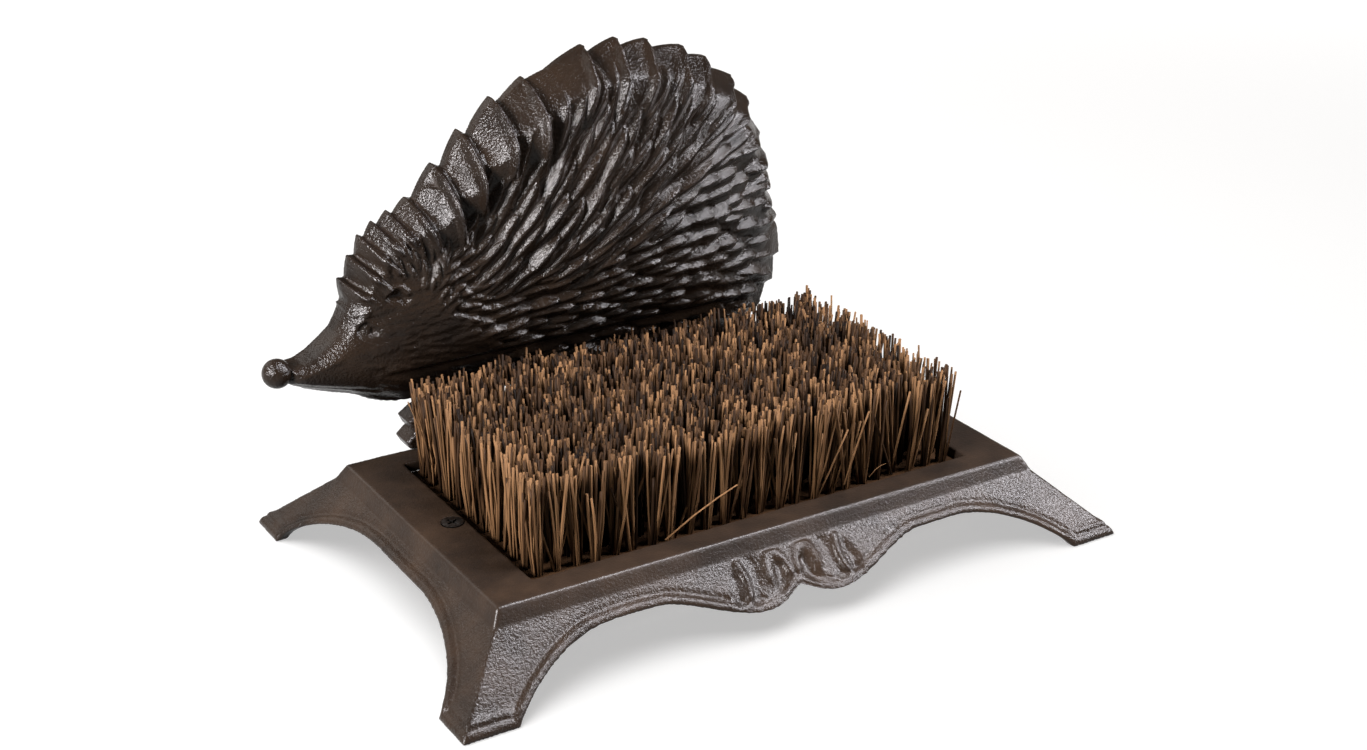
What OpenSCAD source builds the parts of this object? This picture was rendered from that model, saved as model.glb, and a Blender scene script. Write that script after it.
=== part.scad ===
// Boot brush in cast iron: a low stand on four splayed feet holds a stiff fibre brush in its top,
// and a hedgehog cast in hollow-backed relief stands behind the brush on the stand's rear rim.
// X runs along the stand, Y from the front to the hedgehog at the back, Z up from the floor. Millimetres.

/* [Stand] */
// Length of the brush opening
slot_l = 208; // [180:0.5:240]
// Width of the brush opening
slot_w = 115; // [100:0.5:130]
// Width of the flat rim at the two ends of the opening
rim_end = 21; // [18:0.5:30]
// Width of the flat rim in front of the opening and behind it
rim_side = 12.5; // [11.5:0.5:18]
// Height of the stand above the floor
stand_h = 33; // [31:0.5:40]
// How far the feet stand out beyond the rim on every side
foot_reach = 30; // [24:0.5:36]
// Thickness of the rim
rim_t = 5; // [4:0.1:6]
// Thickness of the skirt wall, measured level
wall_t = 5; // [4:0.1:5.2]
// Height of the plain band under the rim
band_h = 6.7; // [5:0.1:7.5]
// How far the plain band leans out
band_out = 3.7; // [3:0.1:5]

/* [Skirt outline] */
// Height of the arches at the front and back
arch_h = 20; // [17:0.1:21]
// Height of the arches at the two ends
end_arch_h = 20.5; // [17:0.1:21.5]
// Length of each foot along the stand
foot_l = 23.2; // [18:0.1:30]
// Length of each foot across the stand
foot_w = 21; // [17:0.1:27]
// Height of the foot's steeper toe
toe_h = 5; // [4:0.1:6]
// How far the toe stands out beyond the skirt's slope
toe_step = 3.5; // [3:0.1:4.5]
// Height of the lowest point of the middle lobes
drop_h = 9.8; // [8:0.1:12]
// Height of the notch between the two lobes
cusp_h = 14.6; // [13:0.1:16]
// Distance from the middle to the lowest point of a lobe
lobe_x = 17; // [14:0.5:20]
// Width of the raised bead along the lower edge
bead_w = 3.2; // [2.4:0.1:4]
// How far the bead stands out from the skirt
bead_t = 0.8; // [0.5:0.1:1.2]
// Height of the bead round the bottom of each foot
foot_bead_h = 6; // [5:0.1:8]
// How far the scrolls stand out from the skirt
scroll_t = 1.4; // [0.8:0.1:2]
// Width of a scroll's stroke
scroll_w = 2.6; // [2:0.1:3]

/* [Hedgehog] */
// Greatest depth of the body in front of its flat back
body_depth = 35; // [32:0.5:38]
// Depth of the head in front of the flat back
head_depth = 27; // [25:0.5:30]
// Thickness of the casting
cast_t = 5; // [4:0.1:6]
// Depth of the straight edge all round the casting
edge_t = 10; // [8:0.1:12]
// Half of the body's length
body_a = 88; // [84:0.5:92]
// Height of the back above the middle of the body
body_up = 84.3; // [80:0.1:88]
// Depth of the belly under the middle of the body
body_dn = 62.7; // [60:0.1:64]
// Radius of the head
head_a = 58.7; // [56:0.1:61]
// Height of a quill's tip above the skin
quill_h = 3.4; // [2:0.1:4.5]
// Rows of quills from the cheek to the outline
quill_rows = 13; // [11:1:15]
// Radius of the nose
nose_r = 6.3; // [5.5:0.1:7]
// Distance from the nose to the head's middle
snout_l = 85; // [80:0.5:88]
// Width of a leg
leg_w = 24; // [22:0.5:28]
// Depth of a leg in front of the flat back
leg_depth = 12; // [10:0.5:14]
// Height of the pad under each leg
pad_h = 12; // [11.5:0.5:16]

/* [Brush] */
// Length of the bristles above their wooden backing
bristle_l = 43; // [38:0.5:44]
// Strands along the brush
bristle_nx = 24; // [20:1:27]
// Strands across the brush
bristle_ny = 17; // [15:1:18]
// Thickness of the wooden block
block_t = 14; // [12:0.5:18]
// Thickness of the slice of wood that the bristles stand in
backing_t = 3; // [2:0.5:5]

/* [Fasteners] */
// Shank diameter of the bolts that hold the paws
bolt_d = 5; // [4:0.1:5.2]
// Length of a paw bolt inside its paw
bolt_grip = 9; // [7:0.5:10]
// Thickness of the washer under a bolt head
washer_t = 1; // [0.8:0.1:1.6]
// Shank diameter of the brush screws
screw_d = 4; // [3:0.1:4.5]
// Head diameter of the countersunk brush screws
screw_head_d = 9; // [7.5:0.1:10]
// Length of a brush screw
screw_l = 15; // [12:0.5:16]

/* [Hidden] */
// Play all round a bolt or screw in a hole that it passes through
hole_play = 0.3;
// Play all round a bolt or screw in the hole that holds it
hold_play = 0.15;
// Play between the ends of the wooden block and the casting
block_play = 3;
// Play between the bristles' backing and the opening at its ends, and at front and back
slot_play = [1.5, 3];
// Metal left between the opening and a screw head, a pad or a bolt hole
land = 1;
pad_land = 0.6;
bolt_land = 1.9;
// Overshoot of every cut past the face that it leaves
cut = 1;

// The stand
rim_l = slot_l + 2 * rim_end;
rim_w = slot_w + 2 * rim_side;
far = rim_l + 2 * foot_reach;
rim_under = stand_h - rim_t;
band_z = stand_h - band_h;
toe_out = foot_reach - toe_step;
foot_x = rim_l / 2 + foot_reach - foot_l;
foot_y = rim_w / 2 + foot_reach - foot_w;
lobe_end = foot_x / 2;
arch_flat = foot_x * 0.61;
end_flat = foot_y * 0.23;
screw_x = slot_l / 2 + land + screw_head_d / 2;
screw_head_h = 0.38 * screw_head_d;
screw_tip_h = 3;
scroll_n = 16;

// The brush
field_l = slot_l - 2 * slot_play[0];
field_w = slot_w - 2 * slot_play[1];
block_l = rim_l + 2 * (band_out - wall_t - block_play);
block_w = field_w;
strand_r = [0.39 * field_w / bristle_ny, 0.265 * field_w / bristle_ny];
strand_vary = 1.5;
strand_splay = [0.035, 0.05];
strand_lean = [1.1, 0.8];

// The hedgehog, placed by its flat back and by the rim that it stands on
back_over = 9;
back_y = rim_w / 2 + back_over;
body_x = 3.3;
body_rise = 79.7;
body_z = stand_h + body_rise;
head_x = -66.8;
head_rise = 57;
head_z = stand_h + head_rise;
head_up = head_a;
head_dn = 33;
upper_bulge = 2.1;
lower_bulge = 4;
cavity_edge = 2;
draw_in = 1.2;
nose_drop = 9.6;
nose_x = head_x - snout_l;
nose_z = head_z - nose_drop;
nose_depth = 8;
brow_l = 62;
brow_drop = 11.6;
brow_r = 12;
brow_x = head_x - brow_l;
brow_z = head_z - brow_drop;
cheek_l = 34;
cheek_drop = 6;
cheek_r = 19;
cheek_x = head_x - cheek_l;
cheek_z = head_z - cheek_drop;
lip_r = 6;
lip_drop = 2;
snout_wall = 7;
eye_at = [48.2, 19, 6.5];
eye_r = 3.4;
ear_at = [35.7, 22.5, 14];
ear_r = 6.5;
ear_rim = 2.2;
ear_tilt = 78;
ear_arc = 205;
ball_fn = 28;
small_fn = 16;

// The quills fan out from one point on the cheek, in three ranges of direction
flow_back = 6.8;
flow_drop = 5;
flow_x = head_x + flow_back;
flow_z = head_z - flow_drop;
flank_from = -34;
ruff_from = 100;
face_from = 166;
flank_n = 64;
ruff_n = 20;
face_n = 28;
edge_notch = 0.5;
tip_push = 0.42;
valley = 0.6;
fur_r = 22;
ruff_r = 40;
rise_r = 18;

// Legs and the bolts in them
leg_x = [-78.5, 50];
pad_y = slot_w / 2 + pad_land;
pad_r = 3;
bolt_y = pad_y + bolt_d / 2 + bolt_land;
bolt_head_h = 0.7 * bolt_d;
bolt_head_r = 0.9 * bolt_d;
washer_r = 0.93 * bolt_d;
hip_h = 36;
hip_more = 2;
ankle_less = 1;
toe_r = 4.4;
toe_out_l = 3.6;
toe_back = 1.4;
toe_rise = 8.2;
sole = 0.2;
heel_r = 6;

// A repeatable scatter between -1 and 1
function scatter(a, b) =
    let (s = sin(a * 1291.7 + b * 783.1) * 437.58)
    2 * (s - floor(s)) - 1;

// The stand's outside as rectangles of growing reach, from the rim down to the floor
function skirt(grow) = [
    [grow, stand_h], [band_out + grow, band_z], [toe_out + grow, toe_h], [foot_reach + grow, 0]
];

module rect_stack(levels) {
    n = len(levels);
    pts = [for (p = levels, c = [[-1, -1], [1, -1], [1, 1], [-1, 1]])
        [c[0] * (rim_l / 2 + p[0]), c[1] * (rim_w / 2 + p[0]), p[1]]];
    sides = [for (i = [0 : n - 2], k = [0 : 3])
        [4 * i + k, 4 * i + (k + 1) % 4, 4 * i + 4 + (k + 1) % 4, 4 * i + 4 + k]];
    polyhedron(pts, concat(sides, [[3, 2, 1, 0]], [[for (k = [0 : 3]) 4 * n - 4 + k]]));
}

// Lower edge of the front and rear skirts at a distance from the middle
function front_edge(x) =
    x < lobe_x ? drop_h + (cusp_h - drop_h) * (1 - sin(90 * x / lobe_x)) :
    x < lobe_end ? drop_h + (arch_h - drop_h) * (1 - cos(180 * (x - lobe_x) / (lobe_end - lobe_x))) / 2 :
    x < arch_flat ? arch_h :
    arch_h * pow(max(0, cos(90 * (x - arch_flat) / (foot_x - arch_flat))), 0.75);

front_half = [for (x = concat(
    [for (i = [0 : 5]) lobe_x * i / 6],
    [for (i = [0 : 9]) lobe_x + (lobe_end - lobe_x) * i / 10],
    [for (i = [0 : 12]) arch_flat + (foot_x - arch_flat) * sin(90 * i / 12)])) [x, front_edge(x)]];

// Lower edge of the two end skirts
end_half = [for (i = [0 : 14])
    let (y = end_flat + (foot_y - end_flat) * sin(90 * i / 14))
    [y, end_arch_h * pow(max(0, cos(90 * (y - end_flat) / (foot_y - end_flat))), 0.55)]];

// The open space under an arch, as a flat shape mirrored about the middle
module arch_void(half) {
    n = len(half);
    polygon(concat(
        [[-half[n - 1][0], -cut]],
        [for (i = [n - 1 : -1 : 1]) [-half[i][0], half[i][1]]],
        half,
        [[half[n - 1][0], -cut]]));
}

module bead_shape(half) {
    difference() {
        union() {
            offset(delta = bead_w) arch_void(half);
            translate([-far, 0]) square([2 * far, foot_bead_h]);
        }
        arch_void(half);
    }
}

// A tapering stroke along a line of points
module ribbon(mid, w) {
    n = len(mid) - 1;
    side = [for (i = [0 : n])
        let (d = mid[min(n, i + 1)] - mid[max(0, i - 1)], half = w * (0.3 + 0.7 * sin(180 * i / n)) / 2)
        half * [-d[1], d[0]] / norm(d)];
    polygon(concat(
        [for (i = [0 : n]) mid[i] + side[i]],
        [for (i = [n : -1 : 0]) mid[i] - side[i]]));
}

// Points of a curl that tightens toward its end, and of a bend through four points
function curl(x, z, r0, r1, a0, a1) = [for (i = [0 : scroll_n])
    let (t = i / scroll_n, r = r0 + (r1 - r0) * t, ang = a0 + (a1 - a0) * t)
    [x + r * cos(ang), z + r * sin(ang)]];

function bend(a, b, c, d) = [for (i = [0 : scroll_n])
    let (t = i / scroll_n, u = 1 - t)
    u * u * u * a + 3 * u * u * t * b + 3 * u * t * t * c + t * t * t * d];

// The carved middle, the same on both sides: a hook beside the notch, a leaf down each lobe,
// a thin stem beside it and a comma at the end
module scrolls() {
    h = band_z - drop_h;
    for (side = [0, 1]) {
        mirror([side, 0]) {
            ribbon(curl(0.38 * lobe_x, band_z - 0.4 * h, 0.3 * h, 0.2 * h, 222, -50), scroll_w);
            ribbon(bend(
                [0.84 * lobe_x, band_z - 0.08 * h], [1.06 * lobe_x, band_z - 0.4 * h],
                [0.8 * lobe_x, band_z - 0.62 * h], [1.04 * lobe_x, drop_h + 0.14 * h]), 1.6 * scroll_w);
            ribbon(bend(
                [1.42 * lobe_x, band_z - 0.08 * h], [1.25 * lobe_x, band_z - 0.4 * h],
                [1.25 * lobe_x, band_z - 0.6 * h], [1.5 * lobe_x, drop_h + 0.26 * h]), scroll_w);
            ribbon(curl(1.75 * lobe_x, band_z - 0.5 * h, 0.24 * h, 0.1 * h, 130, 390), 0.9 * scroll_w);
        }
    }
}

// Shapes drawn in the front and end elevations, carried right through the stand
module through_y() {
    rotate([90, 0, 0]) linear_extrude(2 * far, center = true) children();
}

module through_x() {
    rotate([90, 0, 90]) linear_extrude(2 * far, center = true) children();
}

module at_screws() {
    for (side = [-1, 1]) {
        translate([side * screw_x, 0, 0]) children();
    }
}

module at_paws() {
    for (x = leg_x) {
        translate([x, bolt_y, 0]) children();
    }
}

module base_frame() {
    color("#3a332f")
    difference() {
        union() {
            rect_stack(skirt(0));
            intersection() {
                rect_stack(skirt(bead_t));
                translate([-far, -far, -cut]) cube([2 * far, 2 * far, band_z + cut]);
                union() {
                    through_y() bead_shape(front_half);
                    through_x() bead_shape(end_half);
                }
            }
            intersection() {
                rect_stack(skirt(scroll_t));
                through_y() scrolls();
            }
        }
        rect_stack([
            [band_out - wall_t, rim_under], [band_out - wall_t, band_z],
            [toe_out - wall_t, toe_h], [foot_reach - wall_t, 0], [foot_reach - wall_t, -cut]]);
        translate([-slot_l / 2, -slot_w / 2, rim_under - cut]) cube([slot_l, slot_w, rim_t + 2 * cut]);
        through_y() arch_void(front_half);
        through_x() arch_void(end_half);
        at_screws() {
            translate([0, 0, rim_under - cut]) cylinder(d = screw_d + 2 * hole_play, h = rim_t + 2 * cut);
            translate([0, 0, stand_h - screw_head_h])
                cylinder(d1 = screw_d + 2 * hole_play, d2 = screw_head_d + 2 * hole_play, h = screw_head_h);
        }
        at_paws() translate([0, 0, rim_under - cut])
            cylinder(d = bolt_d + 2 * hole_play, h = rim_t + 2 * cut);
    }
}

// Reach of a rounded outline in one direction from its middle
function reach(ang, a, up, dn) =
    let (n = sin(ang) > 0 ? upper_bulge : lower_bulge, b = sin(ang) > 0 ? up : dn)
    pow(pow(abs(cos(ang)) / a, n) + pow(abs(sin(ang)) / b, n), -1 / n);

// How a dome falls away from its middle to its outline: full above, drawn in below to clear the bristles
function fall(ro, ang) = pow(max(0, 1 - ro * ro), 0.5 + draw_in * max(0, -sin(ang)));

// Head and body, each as middle, half length, height above, depth below and bulge, made smaller all over
function body(less) = [body_x, body_z, body_a - less, body_up - less, body_dn - less, body_depth - less];
function head(less) = [head_x, head_z, head_a - less, head_up - less, head_dn - less, head_depth - less];

// A dome that stands on the flat back and runs out behind it, for the hollow inside the casting
module hollow(f) {
    lines = 44;
    rings = 8;
    pts = concat(
        [for (i = [0 : rings], j = [0 : lines - 1])
            let (ang = 360 * j / lines, ro = i == 0 ? 1 : cos(90 * (i - 1) / rings),
                 r = ro * reach(ang, f[2], f[3], f[4]),
                 depth = i == 0 ? -cut : cavity_edge + (f[5] - cavity_edge) * fall(ro, ang))
            [f[0] + r * cos(ang), back_y - depth, f[1] + r * sin(ang)]],
        [[f[0], back_y - f[5], f[1]], [f[0], back_y + cut, f[1]]]);
    top = (rings + 1) * lines;
    polyhedron(pts, concat(
        [for (i = [0 : rings - 1], j = [0 : lines - 1])
            [(i + 1) * lines + (j + 1) % lines, i * lines + (j + 1) % lines, i * lines + j]],
        [for (i = [0 : rings - 1], j = [0 : lines - 1])
            [(i + 1) * lines + j, (i + 1) * lines + (j + 1) % lines, i * lines + j]],
        [for (j = [0 : lines - 1]) [top, rings * lines + (j + 1) % lines, rings * lines + j]],
        [for (j = [0 : lines - 1]) [top + 1, j, (j + 1) % lines]]));
}

// Place of a point of the side view in a rounded form: 0 in its middle, 1 on its outline
function place(x, z, f) =
    norm([x - f[0], z - f[1]]) / reach(atan2(z - f[1], x - f[0]), f[2], f[3], f[4]);

// Depth of the skin in front of the flat back, at a point of the side view
function skin_of(x, z, f) =
    let (ro = place(x, z, f))
    ro >= 1 ? 0.8 * edge_t : edge_t + (f[5] - edge_t) * fall(ro, atan2(z - f[1], x - f[0]));

function skin(x, z) = max(skin_of(x, z, body(0)), skin_of(x, z, head(0)));

// Distance from the cheek, where the quills start, to the outline of head and body
function outline(ang, lo, hi, halvings) =
    let (m = (lo + hi) / 2, x = flow_x + m * cos(ang), z = flow_z + m * sin(ang),
         within = place(x, z, body(0)) < 1 || place(x, z, head(0)) < 1)
    halvings == 0 ? m : within ? outline(ang, m, hi, halvings - 1) : outline(ang, lo, m, halvings - 1);

// Directions of the quill lines, close together over back and flank, wide apart round the face
spokes = concat(
    [for (j = [0 : flank_n - 1]) flank_from + (ruff_from - flank_from) * j / flank_n],
    [for (j = [0 : ruff_n - 1]) ruff_from + (face_from - ruff_from) * j / ruff_n],
    [for (j = [0 : face_n - 1]) face_from + (360 + flank_from - face_from) * j / face_n]);

// How far quills stand up at a direction and distance: none on the face, fine fur on the cheek
function stand_up(ang, r) =
    ang > face_from ? 0 :
    min(1, max(0, (r - (ang > ruff_from ? ruff_r : fur_r)) / rise_r)) * min(1, 0.25 + (face_from - ang) / 24);

// The quilled coat: rows of ridged points, each row staggered against the next, on a flat back
module coat() {
    m = len(spokes);
    n = quill_rows;
    edge = [for (a = spokes) outline(a, 0, far, 24)];
    skin_pts = [for (i = [1 : n], j = [0 : m - 1])
        let (is_tip = (i + j) % 2 == 0, lift = stand_up(spokes[j], edge[j] * i / n),
             push = is_tip ? tip_push : i == n ? -edge_notch : 0,
             r = edge[j] * min(1, (i + push * lift) / n),
             x = flow_x + r * cos(spokes[j]), z = flow_z + r * sin(spokes[j]))
        [x, back_y - skin(x, z) - (is_tip ? quill_h : -valley) * lift, z]];
    back_pts = [for (j = [0 : m - 1]) let (p = skin_pts[(n - 1) * m + j]) [p[0], back_y, p[2]]];
    ends = [[flow_x, back_y - skin(flow_x, flow_z), flow_z], [flow_x, back_y, flow_z]];
    top = (n + 1) * m;
    polyhedron(
        concat(skin_pts, back_pts, ends),
        concat(
            [for (j = [0 : m - 1]) [top, (j + 1) % m, j]],
            [for (i = [0 : n - 2], j = [0 : m - 1])
                let (a = i * m + j, b = i * m + (j + 1) % m, c = a + m, d = b + m)
                each (i + j) % 2 == 1 ? [[a, b, c], [c, b, d]] : [[a, d, c], [a, b, d]]],
            [for (j = [0 : m - 1])
                let (a = (n - 1) * m + j, b = (n - 1) * m + (j + 1) % m)
                each [[a, b, a + m], [a + m, b, b + m]]],
            [for (j = [0 : m - 1]) [n * m + j, n * m + (j + 1) % m, top + 1]]));
}

module ball(x, depth, z, r, detail) {
    translate([x, back_y - depth, z]) sphere(r, $fn = detail);
}

// A round knob on the flat back: a straight wall, then a rounded front
module knob(x, z, r, wall) {
    translate([x, back_y, z]) rotate([90, 0, 0]) cylinder(r = r, h = wall, $fn = ball_fn);
    ball(x, wall, z, 0.86 * r, ball_fn);
}

// Long snout with its ball of a nose, a small eye, and the arched rim of an ear
module face() {
    hull() {
        knob(cheek_x, cheek_z, cheek_r, snout_wall);
        knob(brow_x, brow_z, brow_r, snout_wall);
    }
    hull() {
        knob(brow_x, brow_z, brow_r, snout_wall);
        knob(nose_x + lip_r, nose_z - lip_drop, lip_r, snout_wall);
    }
    ball(nose_x, nose_depth, nose_z, nose_r, ball_fn);
    ball(head_x - eye_at[0], eye_at[1], head_z + eye_at[2], eye_r, small_fn);
    translate([head_x - ear_at[0], back_y - ear_at[1], head_z + ear_at[2]]) rotate([ear_tilt, 0, 0])
        rotate_extrude(angle = ear_arc, start = (180 - ear_arc) / 2, $fn = ball_fn)
            translate([ear_r, 0]) circle(ear_rim, $fn = small_fn);
}

// A short round bar that lies across the casting, its ends a little inside the leg's faces
module round_bar(x, z, r) {
    translate([x, back_y - cut / 2, z]) rotate([90, 0, 0])
        cylinder(r = r, h = leg_depth - cut, $fn = ball_fn);
}

// A leg that ends in a paw: two toes forward, and a pad that stands on the rim over its bolt
module leg(x) {
    hull() {
        round_bar(x + hip_more, stand_h + hip_h, leg_w / 2 + hip_more);
        round_bar(x, stand_h + pad_h, leg_w / 2 - ankle_less);
    }
    hull() {
        for (cx = [x - leg_w / 4, x + leg_w / 2 - pad_r], cy = [pad_y + pad_r, back_y - cut - pad_r]) {
            translate([cx, cy, stand_h]) cylinder(r = pad_r, h = pad_h, $fn = small_fn);
        }
    }
    for (toe = [0, 1]) {
        hull() {
            round_bar(
                x - leg_w / 2 - toe_out_l + toe_back * toe,
                stand_h + sole + toe_r + toe_rise * toe,
                toe_r);
            round_bar(x, stand_h + 2 * sole + heel_r + toe_rise * toe, heel_r);
        }
    }
}

module hedgehog() {
    color("#2c2625")
    difference() {
        union() {
            coat();
            face();
            for (x = leg_x) {
                leg(x);
            }
        }
        difference() {
            union() {
                hollow(body(cast_t));
                hollow(head(cast_t));
            }
            for (x = leg_x) {
                translate([x - leg_w / 2, back_y - leg_depth, stand_h]) cube([leg_w, leg_depth, hip_h]);
            }
        }
        translate([-far, back_y, 0]) cube([2 * far, far, far]);
        at_paws() translate([0, 0, stand_h - cut])
            cylinder(d = bolt_d + 2 * hold_play, h = bolt_grip + 2 * cut, $fn = 40);
    }
}

module brush_block() {
    color("#6b4a2e")
    difference() {
        translate([-block_l / 2, -block_w / 2, rim_under - block_t]) cube([block_l, block_w, block_t]);
        translate([-field_l / 2, -block_w / 2 - cut, rim_under - backing_t])
            cube([field_l, block_w + 2 * cut, backing_t + cut]);
        at_screws() translate([0, 0, stand_h - screw_l - cut])
            cylinder(d = screw_d + 2 * hold_play, h = screw_l + cut);
    }
}

// Leaning three-sided strands on a thin slice of wood, all one skin
module bristles() {
    nx = bristle_nx;
    ny = bristle_ny;
    dx = field_l / nx;
    dy = field_w / ny;
    grid = [for (i = [0 : nx], j = [0 : ny]) [i * dx - field_l / 2, j * dy - field_w / 2, rim_under]];
    strands = [for (i = [0 : nx - 1], j = [0 : ny - 1], up = [0, 1], k = [0 : 2])
        let (x = (i + 0.5) * dx - field_l / 2, y = (j + 0.5) * dy - field_w / 2,
             tx = up * (strand_splay[0] * x + strand_lean[0] * scatter(i, j)),
             ty = up * (strand_splay[1] * y + strand_lean[1] * scatter(j + nx + ny, i)),
             long = up * (bristle_l + strand_vary * scatter(i + 9, j + 5)))
        [x + tx + strand_r[up] * cos(120 * k - 90),
         y + ty + strand_r[up] * sin(120 * k - 90),
         rim_under + long]];
    g = len(grid);
    low = g + len(strands);
    corners = [for (c = [[-1, -1], [1, -1], [1, 1], [-1, 1]])
        [c[0] * field_l / 2, c[1] * field_w / 2, rim_under - backing_t]];
    cells = [for (i = [0 : nx - 1], j = [0 : ny - 1])
        let (a = i * (ny + 1) + j, b = a + ny + 1, c = b + 1, d = a + 1, p = g + 6 * (i * ny + j), q = p + 3)
        each [[p, b, a], [p, p + 1, b], [p + 1, c, b], [p + 1, p + 2, c],
              [p + 2, d, c], [p + 2, a, d], [p + 2, p, a],
              [q + 1, p + 1, p], [q, q + 1, p], [q + 2, p + 2, p + 1], [q + 1, q + 2, p + 1],
              [q, p, p + 2], [q + 2, q, p + 2], [q + 2, q + 1, q]]];
    front = [for (i = [0 : nx - 1]) [(i + 1) * (ny + 1), low, i * (ny + 1)]];
    rear = [for (i = [0 : nx - 1]) [i * (ny + 1) + ny, low + 3, (i + 1) * (ny + 1) + ny]];
    left = [for (j = [0 : ny - 1]) [j, low, j + 1]];
    right = [for (j = [0 : ny - 1]) [nx * (ny + 1) + j + 1, low + 1, nx * (ny + 1) + j]];
    closing = [[nx * (ny + 1), low + 1, low], [low + 2, nx * (ny + 1) + ny, low + 3],
               [low, low + 3, ny], [nx * (ny + 1) + ny, low + 2, low + 1],
               [low, low + 1, low + 2], [low, low + 2, low + 3]];
    color("#8a6237")
    polyhedron(concat(grid, strands, corners), concat(cells, front, rear, left, right, closing));
}

// Countersunk wood screw with a cross recess, head flush with the rim
module brush_screw(side) {
    slot = [0.58 * screw_head_d, 0.12 * screw_head_d, 0.45 * screw_head_h];
    color("#4a4542")
    translate([side * screw_x, 0, stand_h])
    difference() {
        union() {
            translate([0, 0, -screw_head_h]) cylinder(d1 = screw_d, d2 = screw_head_d, h = screw_head_h);
            translate([0, 0, screw_tip_h - screw_l])
                cylinder(d = screw_d, h = screw_l - screw_tip_h - screw_head_h);
            translate([0, 0, -screw_l]) cylinder(d1 = 0.2 * screw_d, d2 = screw_d, h = screw_tip_h);
        }
        for (turn = [20, 110]) {
            rotate([0, 0, turn]) translate([-slot[0] / 2, -slot[1] / 2, -slot[2]]) cube(slot + [0, 0, cut]);
        }
    }
}

module brush_screw_left() {
    brush_screw(-1);
}

module brush_screw_right() {
    brush_screw(1);
}

module paw_bolt(x) {
    color("#55504c")
    translate([x, bolt_y, rim_under - washer_t]) {
        cylinder(d = bolt_d, h = washer_t + rim_t + bolt_grip);
        translate([0, 0, -bolt_head_h]) cylinder(r = bolt_head_r, h = bolt_head_h, $fn = 6);
    }
}

module paw_washer(x) {
    color("#6a6560")
    translate([x, bolt_y, rim_under - washer_t])
    difference() {
        cylinder(r = washer_r, h = washer_t);
        translate([0, 0, -cut]) cylinder(d = bolt_d + 2 * hole_play, h = washer_t + 2 * cut);
    }
}

module front_paw_bolt() {
    paw_bolt(leg_x[0]);
}

module rear_paw_bolt() {
    paw_bolt(leg_x[1]);
}

module front_paw_washer() {
    paw_washer(leg_x[0]);
}

module rear_paw_washer() {
    paw_washer(leg_x[1]);
}

base_frame();
hedgehog();
brush_block();
bristles();
brush_screw_left();
brush_screw_right();
front_paw_bolt();
rear_paw_bolt();
front_paw_washer();
rear_paw_washer();
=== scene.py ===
"""Hedgehog boot brush: a cast stand, a cast hedgehog in relief and a stiff fibre brush, in a studio."""

import math
from dataclasses import dataclass

import bmesh
import bpy
import numpy as np
from mathutils import Euler, Matrix, Vector, noise


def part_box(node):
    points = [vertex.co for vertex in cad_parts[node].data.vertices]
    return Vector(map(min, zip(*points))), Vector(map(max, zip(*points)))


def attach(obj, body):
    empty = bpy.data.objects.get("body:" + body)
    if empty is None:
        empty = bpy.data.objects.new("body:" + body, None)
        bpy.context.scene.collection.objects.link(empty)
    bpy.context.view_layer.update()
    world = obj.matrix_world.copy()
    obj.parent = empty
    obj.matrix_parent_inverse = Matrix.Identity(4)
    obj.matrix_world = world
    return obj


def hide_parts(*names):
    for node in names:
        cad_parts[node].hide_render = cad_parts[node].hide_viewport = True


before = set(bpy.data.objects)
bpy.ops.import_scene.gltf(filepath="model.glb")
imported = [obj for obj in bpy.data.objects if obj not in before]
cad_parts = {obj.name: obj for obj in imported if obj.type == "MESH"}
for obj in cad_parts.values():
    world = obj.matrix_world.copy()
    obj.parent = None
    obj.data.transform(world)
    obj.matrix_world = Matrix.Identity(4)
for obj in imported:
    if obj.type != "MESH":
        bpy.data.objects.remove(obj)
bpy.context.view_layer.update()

bl_info = {
    "name": "Hedgehog boot brush",
    "version": (1, 0, 0),
    "blender": (4, 5, 0),
    "location": "View3D > Sidebar > Boot brush",
    "description": "Builds the visible pieces of a cast iron boot brush around its solid frame",
    "category": "Object",
}

MM = 0.001

# Heights and faces that come from the solid frame, in millimetres
STAND_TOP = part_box("base_frame")[1].z / MM
BACK_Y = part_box("hedgehog")[1].y / MM
FIELD_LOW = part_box("bristles")[0] / MM
FIELD_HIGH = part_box("bristles")[1] / MM
BOLT_X = [(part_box(n)[0].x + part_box(n)[1].x) / 2 / MM for n in ("front_paw_bolt", "rear_paw_bolt")]
BOLT_Y = (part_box("front_paw_bolt")[0].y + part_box("front_paw_bolt")[1].y) / 2 / MM
BOLT_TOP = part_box("front_paw_bolt")[1].z / MM
WOOD_TOP = STAND_TOP - 5.0

WHITE = (1.0, 1.0, 1.0)
GREY = (0.5, 0.5, 0.5)


# Materials

def plug(tree, socket, value):
    """Links a wire to a socket, or sets the socket to a plain value."""
    if isinstance(value, Wire):
        tree.links.new(value.socket, socket)
    else:
        socket.default_value = value


class Wire:
    """An output socket of a material, so that sums of values are written as Python sums."""

    def __init__(self, tree, socket):
        self.tree = tree
        self.socket = socket

    def math(self, operation, first, second):
        node = self.tree.nodes.new("ShaderNodeMath")
        node.operation = operation
        plug(self.tree, node.inputs[0], first)
        plug(self.tree, node.inputs[1], second)
        return Wire(self.tree, node.outputs[0])

    def __add__(self, other):
        return self.math("ADD", self, other)

    def __radd__(self, other):
        return self.math("ADD", other, self)

    def __sub__(self, other):
        return self.math("SUBTRACT", self, other)

    def __rsub__(self, other):
        return self.math("SUBTRACT", other, self)

    def __mul__(self, other):
        return self.math("MULTIPLY", self, other)

    def __rmul__(self, other):
        return self.math("MULTIPLY", other, self)


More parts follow.
